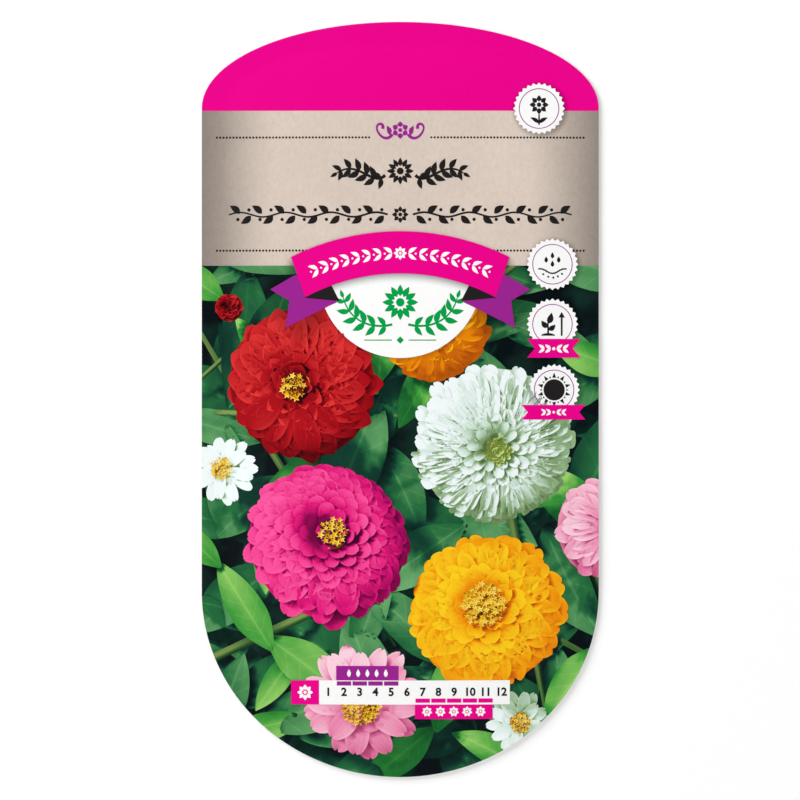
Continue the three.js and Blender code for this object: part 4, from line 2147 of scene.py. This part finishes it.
    def press(self, plant: Plant) -> None:
        """Presses the plant flat on the board, so that it stands hundredths of a millimetre proud.

        Args:
            plant: The plant.
        """
        bm = plant.bm
        bm.faces.sort(key=lambda face: face.calc_center_median().z)
        for vert in bm.verts:
            z = vert.co.z
            below, above = max(self.floor, min(0.0, z)) - self.floor, max(0.0, z)
            relief = Level.PICTURE.value + below * self.leaf_relief + above * self.head_relief
            vert.co.z = self.form.height(vert.co.x, vert.co.y) + relief
        flip_up(bm)
        map_from_above(bm)


ROUND_PETAL = BladeForm(9.5, 6.0, arch=0.07, cup=0.13)
POINTED_PETAL = BladeForm(12.5, 6.6, widest=0.50, tip=0.06, blunt=0.8, notch=0.0, cup=0.15)
QUILLED_PETAL = BladeForm(9.5, 4.2, foot=0.36, widest=0.74, tip=0.3, notch=0.04, cup=0.5)
BROAD_PETAL = BladeForm(11.0, 7.4, widest=0.66, tip=0.35, notch=0.06, arch=0.07, cup=0.10, wave=0.06)
RAY_PETAL = BladeForm(13.0, 5.4, foot=0.4, widest=0.56, tip=0.22, notch=0.04, cup=0.1)


def garden_plants() -> list[Plant]:
    """Grows everything that the printed garden shows.

    Returns:
        The plants, the lowest beds of leaves first.
    """
    daisy = {"dome": 0.3, "crowding": 0.1, "rim_lift": 4.0, "core_lift": 6.0, "core": 0.3, "shoots": 0,
             "cushion_reach": 0.5, "cushion_depth": 0.8, "steepest": 10.0, "unruly": 0.3}
    small_ray = replace(RAY_PETAL, length=7.0, width=3.1)
    heads = [
        FlowerHead("bloom_scarlet", (-23, 4, 8), 20, 104, POINTED_PETAL, SCARLET, 11,
                   lean=16, lean_towards=200, rim_lift=22, core_lift=48, florets=26, core=0.14,
                   core_curl=-0.04, unruly=0.5),
        FlowerHead("bloom_white", (22, -10, 8), 20.5, 190, QUILLED_PETAL, PEARL, 12, FLORET_GREEN,
                   lean=15, lean_towards=-60, dome=0.52, shoots=44, shoot_ink=1, florets=0, core=0.17),
        FlowerHead("bloom_magenta", (-18, -35, 11), 21, 140, ROUND_PETAL, MAGENTA, 13,
                   lean=20, lean_towards=60, dome=0.54, rim_lift=26, core_lift=50, florets=26),
        FlowerHead("bloom_gold", (21, -51, 8), 20, 88, BROAD_PETAL, GOLD, 14, rim_lift=24, core_lift=46,
                   lean=14, lean_towards=120, florets=80, core=0.25, shoots=0, core_curl=-0.08, unruly=0.6),
        FlowerHead("bloom_gold_small", (8, 17, 1), 14, 80, replace(ROUND_PETAL, length=8, width=5), GOLD,
                   15, lean=20, lean_towards=-80),
        FlowerHead("bloom_rose_edge", (48, -31, 3), 13, 84, replace(ROUND_PETAL, length=8, width=4.8), ROSE,
                   16, lean=26, lean_towards=10),
        FlowerHead("daisy_rose", (-9, -72, 5), 15, 21, RAY_PETAL, ROSE, 17, lean=14, lean_towards=-110,
                   florets=90, floret_size=0.8, **daisy),
        FlowerHead("daisy_white_left", (-42, -17, 4), 8.5, 17, small_ray, PEARL, 18, lean=18,
                   lean_towards=150, florets=46, floret_size=0.6, **daisy),
        FlowerHead("daisy_white_low", (28, -77, 1), 8, 17, small_ray, PEARL, 19, lean=16, lean_towards=-30,
                   florets=46, floret_size=0.6, **daisy),
        FlowerHead("bud_scarlet", (-41, 22, 2), 3.6, 34, BladeForm(4.6, 2.8, tip=0.1, cup=0.8), SCARLET, 20,
                   dome=0.8, lean=24, lean_towards=160, rim_lift=40, core_lift=58, core_curl=-0.5, florets=0),
    ]
    beds = [
        LeafBed("leaves_low", LEAF_DEEP, 60, -30, -20, (26, 38), 31),
        LeafBed("leaves_mid", LEAF_DEEP, 46, -20, -12, (22, 34), 32),
        LeafBed("leaves_high", LEAF_BRIGHT, 26, -13, -8, (16, 27), 33, tilt=11),
        LeafBed("stems", STEM_GREEN, 8, -25, -21, (80, 110), 34, widths=(0.015, 0.021), foot=0.6, tip=0.4,
                tilt=3, cups=(-1.4, -1.1), arches=(0.08, 0.11)),
    ]
    return [bed.grow() for bed in beds] + [head.grow() for head in heads]


# --- Studio ---


@dataclass(frozen=True)
class Lamp:
    """One square soft light that shines on the packet, in metres and watts."""

    name: str
    place: Triple
    size: float
    power: float

    def hang(self) -> None:
        """Makes the light."""
        data = bpy.data.lights.new(self.name, "AREA")
        data.size = self.size
        data.energy = self.power
        lamp = bpy.data.objects.new(self.name, data)
        lamp.location = self.place
        lamp.rotation_euler = (-Vector(self.place)).to_track_quat("-Z", "Y").to_euler()
        bpy.context.scene.collection.objects.link(lamp)


@dataclass
class Studio:
    """A pale floor, soft light and a camera that looks straight down on the packet.

    The frame's height and centre are in millimetres, the floor in metres, and the room's stops are a
    direction's height and the grey that is seen there.
    """

    form: PacketForm
    frame_height: float = 191.45
    centre: Point = (-0.06, -0.12)
    lens: float = 200.0
    sensor: float = 36.0
    floor_size: float = 4.0
    floor_z: float = -0.00006
    floor_grey: float = 0.88
    room: tuple[Pair, ...] = ((0.0, 0.90), (0.45, 0.70), (0.85, 0.22))
    lamps: tuple[Lamp, ...] = (
        Lamp("key_light", (-0.86, 0.74, 0.72), 0.80, 15.0),
        Lamp("fill_light", (0.80, -0.50, 0.80), 0.9, 5.0),
        Lamp("left_light", (-0.5, -0.35, 1.0), 0.9, 2.7),
    )

    def build(self) -> None:
        """Makes the camera, the floor, the lights and the room."""
        self.build_camera()
        self.build_floor()
        for lamp in self.lamps:
            lamp.hang()
        self.build_room()

    def build_camera(self) -> None:
        """Makes the camera, whose frame is the photograph's."""
        data = bpy.data.cameras.new("camera")
        data.lens = self.lens
        data.sensor_width = self.sensor
        distance = self.frame_height * self.lens / self.sensor
        camera = bpy.data.objects.new("camera", data)
        camera.location = (self.centre[0] * MM, self.centre[1] * MM, (distance + self.form.rim_top) * MM)
        bpy.context.scene.collection.objects.link(camera)
        bpy.context.scene.camera = camera

    def build_floor(self) -> None:
        """Makes the floor."""
        bm = bmesh.new()
        bmesh.ops.create_grid(bm, x_segments=1, y_segments=1, size=self.floor_size / 2)
        mesh = bpy.data.meshes.new("studio_floor")
        bm.to_mesh(mesh)
        bm.free()
        finish = Finish("floor_paint")
        finish.set(Base_Color=(*[self.floor_grey] * 3, 1.0), Roughness=0.9, Specular_IOR_Level=0.1)
        mesh.materials.append(finish.material)
        floor = bpy.data.objects.new("studio_floor", mesh)
        floor.location.z = self.floor_z
        bpy.context.scene.collection.objects.link(floor)

    def build_room(self) -> None:
        """Makes the room round the scene: pale round the horizon, darker overhead."""
        world = bpy.data.worlds.new("studio_room")
        world.use_nodes = True
        bench = NodeBench(world.node_tree)
        height = bench.node("SeparateXYZ", {0: bench.node("TexCoord").outputs["Generated"]}).outputs["Z"]
        colour = bench.ramp(height, [(stop, (grey, grey, grey, 1.0)) for stop, grey in self.room])
        bench.feed(world.node_tree.nodes["Background"].inputs["Color"], colour)
        bpy.context.scene.world = world
        bpy.context.scene.view_settings.view_transform = "Standard"


def main() -> None:
    """Builds the packet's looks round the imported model."""
    logging.basicConfig(level=logging.INFO, format="%(name)s: %(message)s")
    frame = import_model()
    form, layout = PacketForm.from_frame(), Layout()
    for part in (Studio(form), Boards(form, layout), Filling(frame["nodes"]),
                 Garden(form, layout, garden_plants()), Ribbon(form, layout), Badge(form, layout),
                 Seals(form, layout), Calendar(form), Ornaments(form)):
        part.build()


if __name__ == "__main__":
    main()
